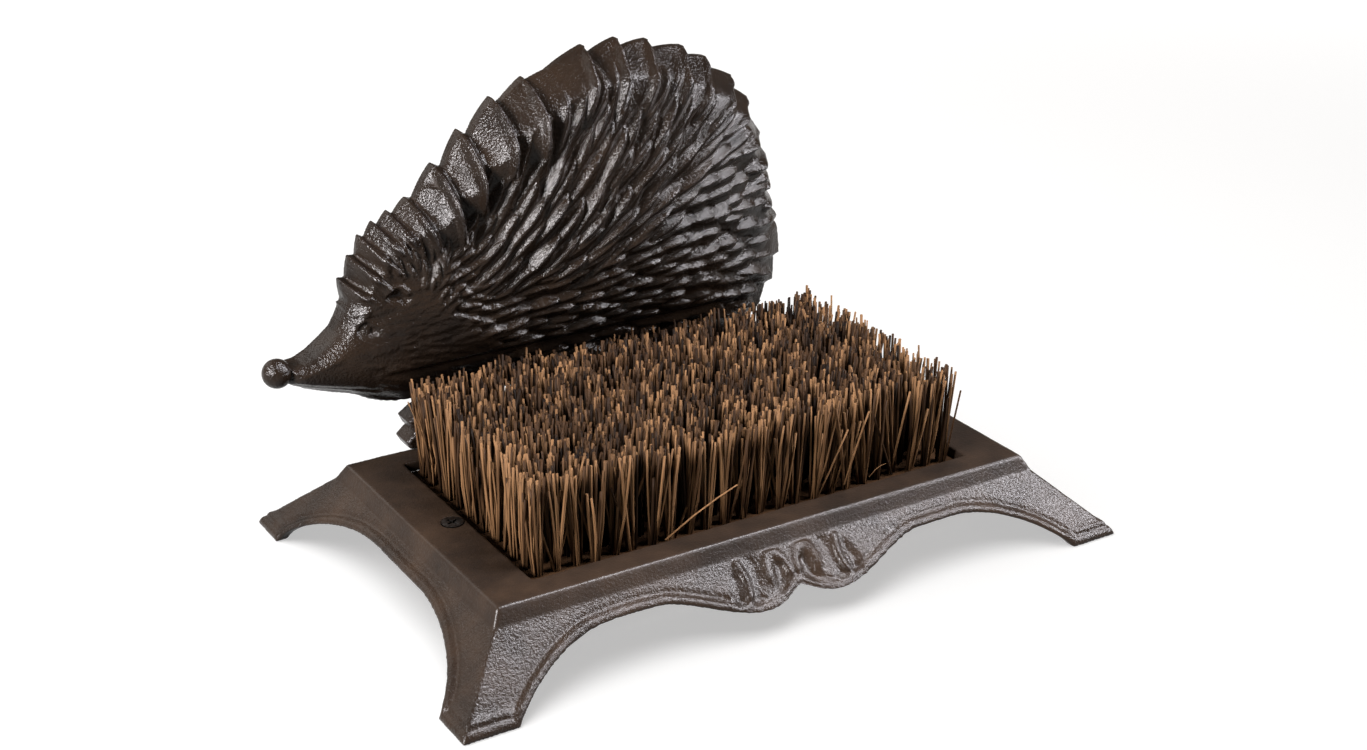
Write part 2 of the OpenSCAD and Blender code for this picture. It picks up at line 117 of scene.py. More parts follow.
class Finish:
    """A material in the making, with one method for every kind of node."""

    def __init__(self, name):
        self.material = bpy.data.materials.new(name)
        self.material.use_nodes = True
        self.tree = self.material.node_tree
        self.tree.nodes.clear()
        self.place = self.node("TexCoord", output="Object")

    def node(self, kind, settings=None, sockets=None, output=0):
        """Adds a node: its settings first, then the values or wires of its sockets."""
        made = self.tree.nodes.new("ShaderNode" + kind)
        for key, value in (settings or {}).items():
            setattr(made, key, value)
        for key, value in (sockets or {}).items():
            plug(self.tree, made.inputs[key], value)
        return Wire(self.tree, made.outputs[output]) if made.outputs else made

    def kept(self, name):
        """The value that the mesh keeps on its points under this name."""
        return self.node("Attribute", {"attribute_name": name}, output="Fac")

    def grain(self, step, detail=2.0, rough=0.5, stretch=None):
        """Cloudy noise whose lumps are about one step across, in metres."""
        place = self.place
        if stretch:
            place = self.node("Mapping", None, {"Vector": place, "Scale": stretch})
        sockets = {"Vector": place, "Scale": 1.0 / step, "Detail": detail, "Roughness": rough}
        return self.node("TexNoise", None, sockets)

    def ease(self, value, low, high):
        """Runs smoothly from 0 at low to 1 at high."""
        sockets = {"Value": value, "From Min": low, "From Max": high}
        return self.node("MapRange", {"interpolation_type": "SMOOTHSTEP"}, sockets)

    def mix(self, factor, first, second):
        """Goes from the first colour to the second."""
        return self.node("Mix", {"data_type": "RGBA"}, {0: factor, 6: first, 7: second}, output=2)

    def bump(self, height, depth):
        """Tilts the surface as if it were raised by a height of up to depth, in metres."""
        return self.node("Bump", None, {"Height": height, "Distance": depth, "Strength": 1.0})

    def close(self, **sockets):
        """Ends in one surface shader. Socket names are written with underscores."""
        named = {key.replace("_", " "): value for key, value in sockets.items()}
        shader = self.node("BsdfPrincipled", None, named)
        self.node("OutputMaterial", None, {"Surface": shader})
        return self.material


def lit(colour, shade=1.0):
    """A property's colour as a socket value, darker where shade is below 1."""
    return (colour[0] * shade, colour[1] * shade, colour[2] * shade, 1.0)


def iron_finish(name, colours, shade, grain_step, grain_depth, rough):
    """Cast iron under a thin brown-black lacquer: grainy, browner in hollows, pale on ridges and edges, which
    is both wear and a painted highlight.
    """
    f = Finish(name)
    coarse = f.grain(grain_step, 2.0, 0.6)
    fine = f.grain(grain_step * 0.4, 1.0)
    cloud = f.grain(0.022, 4.0, 0.6)
    ridge = f.kept("ridge")
    plain = f.kept("plain")
    dark = f.mix(f.ease(cloud, 0.1, 0.95), lit(colours.iron_black, shade), lit(colours.iron_brown, shade))
    dark = f.mix(f.ease(0 - ridge, 0.1, 0.7) * 0.6, dark, lit(colours.iron_hollow, shade))
    # Ridges and edges are painted pale and cool: partly rubbed metal, partly a painted highlight where the
    # lamps catch them
    worn_and_sheen = f.ease(ridge + (coarse - 0.5) * 0.8, 0.35, 0.95)
    colour = f.mix(worn_and_sheen * 0.6, dark, lit(colours.iron_worn_and_sheen))
    hollow = f.ease(0 - ridge, 0.15, 0.8)
    roughness = rough + (fine - 0.5) * 0.2 + (cloud - 0.5) * 0.14 + hollow * 0.3 + plain * 0.06
    height = (coarse * 0.75 + fine * 0.25) * (1 - plain * 0.55)
    return f.close(
        Base_Color=colour, Roughness=roughness, Specular_IOR_Level=0.16, Normal=f.bump(height, grain_depth))


def fibre_finish(name, colours):
    """Stiff plant fibre: every strand its own tan or brown, with painted shade toward its root and below the
    tips of the strands inside the field.
    """
    f = Finish(name)
    strand = f.kept("strand")
    height = f.kept("rise")
    streak = f.grain(0.0012, 2.0, 0.5, (1.0, 1.0, 0.06))
    tan = f.mix(f.ease(strand, 0.0, 0.5), lit(colours.fibre_dark), lit(colours.fibre_brown))
    tan = f.mix(f.ease(strand, 0.5, 1.0), tan, lit(colours.fibre_light))
    tan = f.mix(f.ease(streak, 0.45, 0.75) * 0.45, tan, lit(colours.fibre_dark))
    # Painted shade on the lowest part of every strand, near the wood
    tan = f.mix((1 - f.ease(height, 0.0, 0.3)) * 0.2, tan, lit(colours.fibre_shade))
    # Painted shade on the strands inside the field, below their tips, where the tufts shade each other
    inner = f.kept("inner")
    tan = f.mix((1 - f.ease(height, 0.70, 0.98)) * inner * 0.85, tan, lit(colours.fibre_shade))
    return f.close(Base_Color=tan, Roughness=0.5, Specular_IOR_Level=0.03, Normal=f.bump(streak, 0.0002))


def wood_finish(name, colours):
    """Plain beech with a long grain."""
    f = Finish(name)
    grain = f.grain(0.004, 4.0, 0.6, (0.06, 1.0, 1.0))
    colour = f.mix(f.ease(grain, 0.35, 0.65), lit(colours.wood_dark), lit(colours.wood_light))
    return f.close(
        Base_Color=colour, Roughness=0.6 + (grain - 0.5) * 0.3, Specular_IOR_Level=0.1,
        Normal=f.bump(grain, 0.0002))


def steel_finish(name, colours):
    """Blackened steel of screws, bolts and washers, rubbed a little."""
    f = Finish(name)
    cloud = f.grain(0.002, 3.0, 0.6)
    colour = f.mix(f.ease(cloud, 0.4, 0.75), lit(colours.steel_dark), lit(colours.steel_light))
    return f.close(
        Base_Color=colour, Roughness=0.38 + (cloud - 0.5) * 0.3, Metallic=0.8, Normal=f.bump(cloud, 0.0001))


def paper_finish(name, colours):
    """White paper that glows a little, so that shadows stay light, and more where the lamps don't reach."""
    f = Finish(name)
    colour = f.mix(f.grain(0.4, 1.0) * 0.05, lit(colours.floor), lit(GREY))
    far = f.ease(f.node("VectorMath", {"operation": "LENGTH"}, {0: f.place}, "Value"), 0.6, 2.0)
    return f.close(
        Base_Color=colour, Roughness=0.9, Specular_IOR_Level=0.05,
        Emission_Color=f.mix(far, lit(GREY), lit(WHITE)), Emission_Strength=0.96)


# Meshes

def loose_object(name, data):
    """Puts a mesh, a lamp or a camera in the scene."""
    piece = bpy.data.objects.new(name, data)
    bpy.context.scene.collection.objects.link(piece)
    return piece


def dress(mesh, finish):
    """Gives a mesh one finish in place of those that it has."""
    mesh.materials.clear()
    mesh.materials.append(finish)


def new_piece(name, mesh, node, finish):
    """Puts a mesh in the scene as a piece that stands for a node of the frame."""
    dress(mesh, finish)
    piece = loose_object(name, mesh)
    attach(piece, "root")
    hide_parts(node)


def mesh_of(name, points, faces):
    """A mesh from points in millimetres."""
    mesh = bpy.data.meshes.new(name)
    mesh.from_pydata((np.asarray(points) * MM).tolist(), [], faces)
    return mesh


def after_modifiers(piece):
    """The mesh of a piece as its modifiers leave it; the piece itself is removed."""
    bpy.context.view_layer.update()
    shaped = piece.evaluated_get(bpy.context.evaluated_depsgraph_get())
    mesh = bpy.data.meshes.new_from_object(shaped)
    bpy.data.objects.remove(piece)
    return mesh


def vectors_of(items, key):
    """One vector of every item of a mesh, as rows."""
    flat = np.empty(len(items) * 3, np.float32)
    items.foreach_get(key, flat)
    return flat.reshape(-1, 3).astype(float)


def points_of(mesh):
    return vectors_of(mesh.vertices, "co")


def normals_of(mesh):
    return vectors_of(mesh.vertex_normals, "vector")


def set_points(mesh, points):
    mesh.vertices.foreach_set("co", np.asarray(points, np.float32).ravel())
    mesh.update()


def neighbours_mean(mesh, values, rounds):
    """Averages a value or a point with those of its neighbours, several times over."""
    edges = np.empty(len(mesh.edges) * 2, np.int32)
    mesh.edges.foreach_get("vertices", edges)
    a, b = edges.reshape(-1, 2).T
    size = len(values)
    count = np.maximum(np.bincount(np.concatenate([a, b]), minlength=size), 1.0)
    columns = values.reshape(size, -1)
    for _ in range(rounds):
        total = np.stack([np.bincount(a, c[b], size) + np.bincount(b, c[a], size) for c in columns.T], 1)
        columns = 0.5 * columns + 0.5 * total / count[:, None]
    return columns.reshape(values.shape)


def mark(mesh, name, values):
    """Keeps a value on every point, for the material."""
    mesh.attributes.new(name, "FLOAT", "POINT").data.foreach_set("value", np.asarray(values, np.float32))


def mark_ridges(mesh, scale, wear_and_sheen=1.0):
    """Keeps on every point how far it stands out, from -1 in a hollow to 1 on a ridge; the last argument
    scales the ridges, which the iron's finish paints pale as wear and painted highlight.
    """
    points = points_of(mesh)
    out = np.einsum("ij,ij->i", points - neighbours_mean(mesh, points, 6), normals_of(mesh))
    values = np.clip(neighbours_mean(mesh, out, 1) / (scale * MM), -1, 1)
    mark(mesh, "ridge", np.where(values > 0, values * wear_and_sheen, values))


def all_smooth(mesh):
    mesh.polygons.foreach_set("use_smooth", np.ones(len(mesh.polygons), bool))


def ramp(value, low, high):
    """Runs evenly from 0 at low to 1 at high."""
    return np.clip((value - low) / (high - low), 0, 1)


def eased(t):
    """Makes a run from 0 to 1 start and end softly."""
    return t * t * (3 - 2 * t)


def along_line(x, z, a, b):
    """Place along the line from a to b, from 0 to 1, and the distance from that line."""
    dx, dz = b[0] - a[0], b[1] - a[1]
    t = np.clip(((x - a[0]) * dx + (z - a[1]) * dz) / (dx * dx + dz * dz + 1e-12), 0, 1)
    return t, np.hypot(x - a[0] - t * dx, z - a[1] - t * dz)


def ridge_along(x, z, path, width, height):
    """Height of a rounded ridge, or of a groove where height is below 0, that follows a line of points."""
    away = np.min([along_line(x, z, a, b)[1] for a, b in zip(path, path[1:])], 0)
    return height * np.exp(-(away / width) ** 2)


def carving(x, z, forms):
    """Height of several ridges and grooves together."""
    return sum(ridge_along(x, z, *form) for form in forms)


def bend(a, b, c, d):
    """Points of a smooth bend between a and d."""
    t = np.linspace(0, 1, 14)[:, None]
    a, b, c, d = (np.array(p, float) for p in (a, b, c, d))
    return (1 - t) ** 3 * a + 3 * (1 - t) ** 2 * t * b + 3 * (1 - t) * t * t * c + t ** 3 * d


# The stand

# The band's lower edge and how far it stands out, half the rim, the scrolls' lowest point, the skirt's slope
BAND_Z = 26.3
BAND_OUT = 3.7
RIM_HALF = 70.0
DROP_Z = 9.8
SKIRT_RUN = 22.8 / 21.3

# The scroll to the right of the notch: lines of points, with the width and height of each ridge or groove
SCROLL_HALF = 33.0
SCROLL = (
    (bend((1.1, 13), (0.6, 27), (11.6, 29.5), (11.6, 18.6)), 1.9, 1.3),
    (bend((23.4, 24.6), (21.3, 20), (21.3, 16.2), (25.8, 12.6)), 1.5, 1.1),
    (((5.4, 20.8), (7.6, 15.4)), 2.3, -1.2),
    (((17.2, 24), (18.2, 19), (20.4, 13.5)), 2.5, -0.9),
    (((26.6, 20.6), (28.2, 17.6), (27.2, 14.8)), 2.1, -1.1))

# The way that the stand's skin is turned while it is laid, and a distance for points far from any edge
SKEW = (0.42, 0.31, 0.57)
FAR = 99.0


def edge_distance(x, y, z, normals):
    """How far every point of the four sloping sides is from the lower edge; far for all other points."""
    away = np.full(x.shape, FAR)
    for along, out in ((x, 1), (y, 0)):
        for sign in (-1, 1):
            on_face = (normals[:, out] * sign > 0.45) & (normals[:, 2] > 0.35) & (z < BAND_Z - 0.6)
            face = np.nonzero(on_face)[0]
            a, h = along[face], z[face]
            bins = np.round(a).astype(int)
            places = np.unique(bins)
            lows = np.array([h[bins == k].min() for k in places])
            lows = np.convolve(np.pad(lows, 2, "edge"), (0.1, 0.2, 0.4, 0.2, 0.1), "valid")
            best = np.full(len(face), FAR)
            for k in np.nonzero(np.diff(places) < 4)[0]:
                dx, dz = places[k + 1] - places[k], lows[k + 1] - lows[k]
                near = np.nonzero(np.abs(a - places[k]) < 9)[0]
                px, pz = a[near] - places[k], h[near] - lows[k]
                t = np.clip((px * dx + pz * dz) / (dx * dx + dz * dz), 0, 1)
                best[near] = np.minimum(best[near], np.hypot(px - t * dx, (pz - t * dz) * 1.4))
            away[face] = np.minimum(away[face], best)
    return away


def stand_mesh(sizes):
    """The casting: the frame's solid with rounded edges, an uneven skin and deeper carving."""
    solid = bpy.data.meshes.new("stand_solid")
    work = bmesh.new()
    work.from_mesh(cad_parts["base_frame"].data)
    bmesh.ops.remove_doubles(work, verts=work.verts, dist=1e-6)
    # The skin is laid over the solid askew, so that no long edge runs along its rows and shows steps
    askew = Euler(SKEW).to_matrix()
    bmesh.ops.transform(work, matrix=askew.to_4x4(), verts=work.verts)
    work.to_mesh(solid)
    work.free()
    piece = loose_object("stand_work", solid)
    remesh = piece.modifiers.new("one skin", "REMESH")
    remesh.mode = "VOXEL"
    remesh.voxel_size = sizes.stand_step
    mesh = after_modifiers(piece)
    points = neighbours_mean(mesh, points_of(mesh) @ np.array(askew), sizes.edge_rounds)
    set_points(mesh, points)
    normals = normals_of(mesh)
    x, y, z = points.T / MM

    # The middle of the long sides is made plain first and then carved afresh
    slope = math.atan(SKIRT_RUN)
    above = (np.abs(y) - RIM_HALF - BAND_OUT - (BAND_Z - z) * SKIRT_RUN) * math.cos(slope)
    carved = (np.abs(x) < SCROLL_HALF) & (z > DROP_Z - 1) & (z < BAND_Z) & (np.abs(above) < 2.5)
    carved &= (np.abs(normals[:, 1]) > 0.3) & (normals[:, 2] > 0)
    flat = ramp(np.abs(x), SCROLL_HALF, SCROLL_HALF - 4) * np.where(carved, above, 0) * MM
    outward = np.stack([0 * y, np.sign(y) * math.cos(slope), 0 * y + math.sin(slope)], 1)
    points = points - outward * flat[:, None]
    away = edge_distance(x, y, z, normals)
    scroll = carving(np.abs(x), z, SCROLL) * ramp(z, BAND_Z + 0.2, BAND_Z - 1.3)
    move = np.where(carved, scroll, 0) * sizes.carving * ramp(away, 1.5, 5.5)

    # A roll along the lower edge with a groove above it, and the waves of the casting
    roll = np.exp(-((away - 1.6) / 1.3) ** 2) * ramp(away, 0, 1.2)
    roll -= 0.8 * np.exp(-((away - 4.6) / 1.2) ** 2)
    move += roll * (sizes.bead / MM)
    wave = np.array([noise.noise(p * 60) + 0.4 * noise.noise(p * 150) for p in map(Vector, points)])
    move += wave * (sizes.cast_wave / MM) * ramp(z, 0, 2)
    points += normals * (move * MM)[:, None]

    # The lower edge is evened out, apart from the notch between the scrolls
    ragged = (away < 1.5) & ((np.abs(x) > 9) | (np.abs(y) < RIM_HALF))
    lower_edge = np.clip(8 * neighbours_mean(mesh, ragged.astype(float), 7), 0, 1)[:, None]
    points += (neighbours_mean(mesh, points, 14) - points) * lower_edge
    points[:, 2] = np.maximum(points[:, 2], 0)
    set_points(mesh, points)
    # The ridges' pale colour, wear and painted highlight together, is full along the front and weaker
    # elsewhere and next to the band's lower edge
    wear_and_sheen = np.where(y < -60, 1.0, 0.3) * np.clip((np.abs(z - BAND_Z) - 0.6) / 1.2, 0.15, 1)
    mark_ridges(mesh, 0.35, wear_and_sheen)
    mark(mesh, "plain", ramp(z, BAND_Z - 0.5, BAND_Z + 0.5))
    all_smooth(mesh)
    return mesh


# The hedgehog

# Body and head as rounded outlines: middle, half length, height above, depth below, depth of the relief
BODY = (3.3, STAND_TOP + 79.7, 88.0, 84.3, 62.7, 35.0)
HEAD = (-66.8, STAND_TOP + 57.0, 58.7, 58.7, 33.0, 27.0)

# The field of points that carries the relief
GRID_X = (-161.0, 97.0)
GRID_Z = (STAND_TOP - 1.0, 203.0)

# Where the outline closes, the middles of the legs, the depth of the edge and the thickness of the wall
FLOW = (-60.0, STAND_TOP + 52.0)
LEGS = (-78.5, 50.0)
EDGE = 12.0
CASTING = 5.0

# The ball of the nose, the holes for the bolts, tries at placing a quill, and strokes of fur
NOSE = (-151.9, 71.0, 80.4)
NOSE_RADIUS = 6.2
HOLE_RADIUS = 2.65
QUILL_TRIES = 12000
FUR_STROKES = 260

# Tips of the large quills of the outline, from the brow over the back to the tail, and the way they point
OUTLINE_TIPS = (
    (-122.8, 102.8, 150), (-120.6, 113.4, 140), (-115.6, 122.4, 132), (-110.6, 130.6, 125),
    (-104.1, 135.4, 118), (-97.2, 138.8, 112), (-88.9, 143.0, 106), (-76.6, 155.8, 97),
    (-64.2, 168.4, 92), (-48.6, 180.2, 86), (-33.4, 186.4, 84), (-4.8, 196.2, 66), (11.4, 197.3, 64),
    (26.6, 194.8, 58), (44.6, 189.6, 50), (56.4, 183.2, 44), (69.6, 173.0, 32), (78.2, 161.8, 18),
    (83.4, 147.0, 8), (86.8, 136.2, 4), (89.2, 124.6, 1), (90.2, 115.0, 0), (92.0, 105.6, -4),
    (91.2, 88.4, -8), (87.6, 75.8, -14), (81.0, 63.0, -24))

# Which way the quills lie at some places of the flank: x, z and the angle in degrees
LIE = (
    (-68, 98, -12), (-70, 118, 18), (-66, 140, 46), (-50, 94, 12), (-50, 120, 50), (-50, 160, 62),
    (-62, 156, 76), (-74, 150, 88), (-30, 85, 0), (-30, 105, 14), (-30, 125, 50), (-28, 150, 58),
    (-28, 185, 66), (-5, 85, 3), (-5, 105, 13), (-5, 122, 36), (-5, 145, 54), (0, 170, 58), (10, 192, 60),
    (20, 85, 3), (20, 112, 6), (20, 130, 30), (22, 150, 42), (30, 175, 50), (46, 85, 1), (46, 110, 2),
    (46, 130, 10), (48, 150, 30), (52, 172, 42), (70, 80, -6), (70, 110, -2), (70, 135, 8), (70, 155, 22),
    (85, 80, -12), (85, 110, -4), (82, 140, 6), (-86, 108, 60), (-86, 130, 92), (-98, 108, 128),
    (-98, 130, 108), (-110, 122, 120), (-114, 108, 130), (-90, 90, 0), (-108, 84, -4))

# Outline of the smooth face, from the nose over the brow, through the neck and back along the chin
FACE = (
    (-147.0, 82.2), (-141.8, 82.8), (-136.5, 85.3), (-130.3, 89.7), (-125.7, 93.4), (-123.2, 97.4),
    (-121.0, 102.0), (-117.5, 110.0), (-112.5, 119.0), (-104.0, 127.0), (-90.0, 134.0), (-60.0, 130.0),
    (-60.0, 62.0), (-85.0, 56.0), (-95.7, 57.4), (-113.1, 61.6), (-127.8, 65.8), (-140.0, 70.2),
    (-148.0, 75.2))

# The part of the face that has no quills
SMOOTH = (
    (-160.0, 60.0), (-160.0, 90.0), (-126.0, 96.0), (-119.0, 102.0), (-113.0, 111.0), (-104.0, 115.5),
    (-96.0, 114.0), (-89.0, 107.0), (-81.0, 96.0), (-69.0, 86.0), (-58.0, 76.0), (-60.0, 50.0))

# Ridges and grooves of the face, as in the scroll: bridge of the nose, cheek, mouth, brow, eye and ear
FEATURES = (
    (((-146, 81.5), (-133, 88.4), (-125, 92.2), (-119, 96.6), (-114.5, 103)), 1.3, 1.0),
    (((-143, 79.2), (-137.9, 81.1), (-127.4, 85.4)), 0.9, 0.5),
    (((-146, 75.6), (-138, 73.3), (-126, 70.3), (-112, 67)), 0.7, -0.9),
    (((-119.6, 97.6), (-117.4, 99.1), (-114.8, 98.9), (-112.2, 96.4)), 0.8, 0.8),
    (((-117.6, 95.2), (-113.6, 94.6)), 2.0, -1.5),
    (((-106.4, 109.6), (-105.6, 111.4), (-103.4, 112.5), (-101, 112.2), (-99.2, 110.6), (-98.4, 109)),
     0.9, 1.3),
    (((-105, 108), (-102.2, 108.3), (-99.8, 106.8)), 1.9, -1.6))


def share(x, z, form, less=0.0):
    """Place in a rounded form, 0 in its middle and 1 on its edge, its direction, and how far the edge is."""
    cx, cz, a, up, down = form[:5]
    angle = np.arctan2(z - cz, x - cx)
    upper = np.sin(angle) > 0
    n = np.where(upper, 2.1, 4.0)
    b = np.where(upper, up - less, down - less)
    edge = ((np.abs(np.cos(angle)) / (a - less)) ** n + (np.abs(np.sin(angle)) / b) ** n) ** (-1 / n)
    return np.hypot(x - cx, z - cz) / edge, angle, edge


def dome(x, z, form, edge, less=0.0):
    """Depth of a rounded form in front of the back, drawn in below to clear the bristles."""
    place, angle, _ = share(x, z, form, less)
    fall = np.maximum(0, 1 - place * place) ** (0.85 + 0.85 * np.maximum(0, -np.sin(angle)))
    return np.where(place < 1, edge + (form[5] - less - edge) * fall, 0)


def soft_max(a, b, width):
    """The larger of two heights, with a soft crease where they meet."""
    mix = np.clip(0.5 + 0.5 * (a - b) / width, 0, 1)
    return b + (a - b) * mix + width * mix * (1 - mix)


def inside_of(x, z, corners):
    """Signed distance to a closed outline, below 0 inside."""
    away = np.full(x.shape, 1e9)
    within = np.zeros(x.shape, bool)
    for a, b in zip(corners, list(corners[1:]) + [corners[0]]):
        away = np.minimum(away, along_line(x, z, a, b)[1])
        rise = (b[1] - a[1]) or 1e-12
        within ^= ((a[1] > z) != (b[1] > z)) & (x < a[0] + (b[0] - a[0]) * (z - a[1]) / rise)
    return np.where(within, -away, away)


def capsule(x, z, a, b, ra, rb):
    """Signed distance to the hull of two circles."""
    t, away = along_line(x, z, a, b)
    return away - (ra + t * (rb - ra))


def lie(x, z):
    """Direction of the quills at a place."""
    px, pz, angle = np.array(LIE, float).T
    near = ((x - px) ** 2 + (z - pz) ** 2 + 30) ** -1.6
    angle = np.radians(angle)
    return math.atan2((near * np.sin(angle)).sum(), (near * np.cos(angle)).sum())


@dataclass
class Quill:
    """One quill, in millimetres; edge is above 0 for those of the outline and says how steeply they fall."""

    tip: tuple
    angle: float
    length: float
    left: float
    right: float
    height: float
    blunt: float
    edge: float = 0.0

    def raise_on(self, heights, x, z):
        """Lays the quill over the ones that are there already."""
        span = self.length + self.left + self.right
        step = x[1, 0] - x[0, 0]
        window = tuple(
            slice(max(0, int((at - span - start) / step)), int((at + span - start) / step) + 2)
            for at, start in zip(self.tip, (x[0, 0], z[0, 0])))
        dx, dz = x[window] - self.tip[0], z[window] - self.tip[1]
        way = (math.cos(self.angle), math.sin(self.angle))
        along = 1 + (dx * way[0] + dz * way[1]) / self.length
        across = dz * way[0] - dx * way[1]
        root = 0.45 + 0.55 * ramp(along, 0, 0.6)
        point = 1 - ramp(along, 0.6, 1) ** self.blunt
        left = self.left * root * (1 if self.edge else point)
        right = self.right * root * point
        side = np.where(across > 0, across / np.maximum(left, 1e-6), -across / np.maximum(right, 1e-6))
        on = (along > 0) & (along < (1.3 if self.edge else 1)) & (side < 1)
        if self.edge:
            rise, fall = eased(ramp(along, 0, 0.7)), 0.7 * eased(ramp(along, 0.35, 1))
        else:
            rise, fall = ramp(along, 0, 0.88), 0.35 * ramp(along, 0.88, 1)
            rise = rise * (2 - rise)
        top = (self.height + 1.0) * rise - self.height * fall - 1.0
        roof = np.maximum(1 - side, 0) ** (self.edge or 1.7)
        foot = np.minimum(top, -0.9 + 0.22 * (top + 0.9))
        laid = np.maximum(heights[window], foot + (top - foot) * roof)
        heights[window] = np.where(on, laid, heights[window])


def saw_outline():
    """Closed outline that rises in a long bend to every tip and drops behind it."""
    line = []
    tips = np.array(OUTLINE_TIPS)[:, :2]
    for a, b in zip(tips, tips[1:]):
        way = (b - a) / np.hypot(*(b - a))
        out = np.array((-way[1], way[0]))
        depth = 3.0 if a[0] < -84 else 2.8 if a[1] < 140 else 4.8
        notch = a + 1.4 * way - out * depth
        belly = (notch + b) / 2 + out * 0.08 * np.hypot(*(b - notch))
        line.append(tuple(a))
        for t in np.linspace(0, 1, 9)[:-1]:
            line.append(tuple((1 - t) ** 2 * notch + 2 * t * (1 - t) * belly + t * t * b))
    return line + [tuple(tips[-1]), (60.0, 64.0), FLOW]


def brow_and_tail(x, z):
    """How far a place of the outline belongs to the brow and to the tail, from 0 to 1."""
    return ramp(x, -84, -92), ramp(z, 150, 120) if x > 0 else 0


def outline_quills():
    """The large quills of the outline, each a wide flank that rises to a ridge on the side of the tail."""
    quills = []
    for k, (x, z, angle) in enumerate(OUTLINE_TIPS[:-1]):
        before = OUTLINE_TIPS[max(0, k - 1)]
        gap = min(24, max(7.5, math.hypot(x - before[0], z - before[1])))
        brow, tail = brow_and_tail(x, z)
        neck = ramp(x, -22, -37) * (1 - brow)
        quills.append(Quill(
            tip=(x, z), angle=math.radians(angle), length=40 - 22 * brow - 20 * tail, left=gap * 0.95,
            right=2.2 - 0.6 * brow, height=3.2 - 1.2 * brow - 1.0 * tail + 4.6 * neck,
            blunt=1.4 + 1.3 * tail, edge=1.9 - 0.8 * neck))
    return quills


def outline_ribs(x, z):
    """Narrow rounded ribs that run from the tips of the outline down over the bevel."""
    ribs = np.zeros(x.shape)
    for tx, tz, angle in OUTLINE_TIPS[:-1]:
        brow, tail = brow_and_tail(tx, tz)
        way = (math.cos(math.radians(angle)), math.sin(math.radians(angle)))
        down = -(x - tx) * way[0] - (z - tz) * way[1]
        across = (z - tz) * way[0] - (x - tx) * way[1]
        t = ramp(down, 0, 32 - 15 * brow - 16 * tail)
        half = (1.0 + (1.7 - 0.3 * brow) * ramp(down, 0, 7)) * (1 - 0.35 * t)
        top = (5.6 - 1.4 * brow - 2.0 * tail) * ramp(down, -1.2, 3.8) ** 0.7 * (1 - t) ** 0.7
        bulge = np.maximum(0, 1 - (across / half) ** 2)
        ribs = np.where(down > -1.2, np.maximum(ribs, top * bulge), ribs)
    return ribs


def flank_quills(rng, depth_inside, sizes):
    """Quills over the flank: long and sharp above, short and blunt toward the tail, small on the ruff."""
    quills = []
    taken = np.zeros((0, 2))
    long, wide, high = (v / MM for v in (sizes.quill_length, sizes.quill_width, sizes.quill_height))
    for _ in range(QUILL_TRIES):
        x, z = rng.uniform(-122, 90), rng.uniform(62, 194)
        if depth_inside(x, z) < 2.0 or x < -84 and z < 104 or math.hypot(x + 103, z - 107) < 9:
            continue
        angle = lie(x, z)
        upper = ramp(math.degrees(angle), 8, 38) * ramp(z, 108, 122)
        rear, ruff = ramp(x, 5, 50), ramp(x, -42, -68)
        length = long * (0.56 + 0.06 * rear + 0.44 * upper) * (1 - 0.52 * ruff)
        width = wide * (0.86 + 0.50 * rear * (1 - upper) + 0.10 * upper) * (1 - 0.22 * ruff)
        if len(taken):
            dx, dz = taken[:, 0] - x, taken[:, 1] - z
            along = dx * math.cos(angle) + dz * math.sin(angle)
            across = dz * math.cos(angle) - dx * math.sin(angle)
            if ((along / (0.40 * length)) ** 2 + (across / (0.86 * width)) ** 2).min() < 1:
                continue
        taken = np.vstack([taken, (x, z)])
        height = high * (0.54 + 0.24 * rear + 0.46 * upper) * (1 - 0.3 * ruff)
        height *= 0.6 + 0.6 * rng.uniform(0, 1) ** 2
        quills.append(Quill(
            tip=(x, z), angle=angle + rng.uniform(-0.08, 0.08), length=length * rng.uniform(0.9, 1.15),
            left=width * rng.uniform(0.42, 0.56), right=width * rng.uniform(0.52, 0.68), height=height,
            blunt=1.4 + 1.6 * rear * (1 - upper)))
    return quills


def fur_strokes(rng):
    """Short strokes of fur on the cheek and brow, combed back from the nose."""
    strokes = []
    for _ in range(FUR_STROKES):
        x, z = rng.uniform(-122, -52), rng.uniform(58, 124)
        way = math.atan2(z - 86, x + 150) + rng.uniform(-0.25, 0.25)
        long = rng.uniform(5, 10)
        strokes.append(((x, z), (x + long * math.cos(way), z + long * math.sin(way))))
    return strokes


def leg_outline(x, z):
    """Signed distance to the legs with their paws and toes, below 0 inside."""
    away = np.full(x.shape, 1e9)
    for lx in LEGS:
        away = np.minimum(away, capsule(x, z, (lx + 2, STAND_TOP + 36), (lx, STAND_TOP + 12), 14, 11))
        forms = [(
            (lx - 8, STAND_TOP), (lx + 12, STAND_TOP), (lx + 12, STAND_TOP + 14), (lx - 8, STAND_TOP + 14))]
        for toe in (0, 1):
            rise = STAND_TOP + 8.2 * toe
            forms.append((
                (lx - 17.5 + 1.2 * toe, rise + 0.3 + 0.6 * toe), (lx - 4, rise), (lx - 4, rise + 12),
                (lx - 14.5 + 1.2 * toe, rise + 8.6), (lx - 19.6 + 1.4 * toe, rise + 4.2 + toe)))
        for corners in forms:
            away = np.minimum(away, inside_of(x, z, corners))
    return away


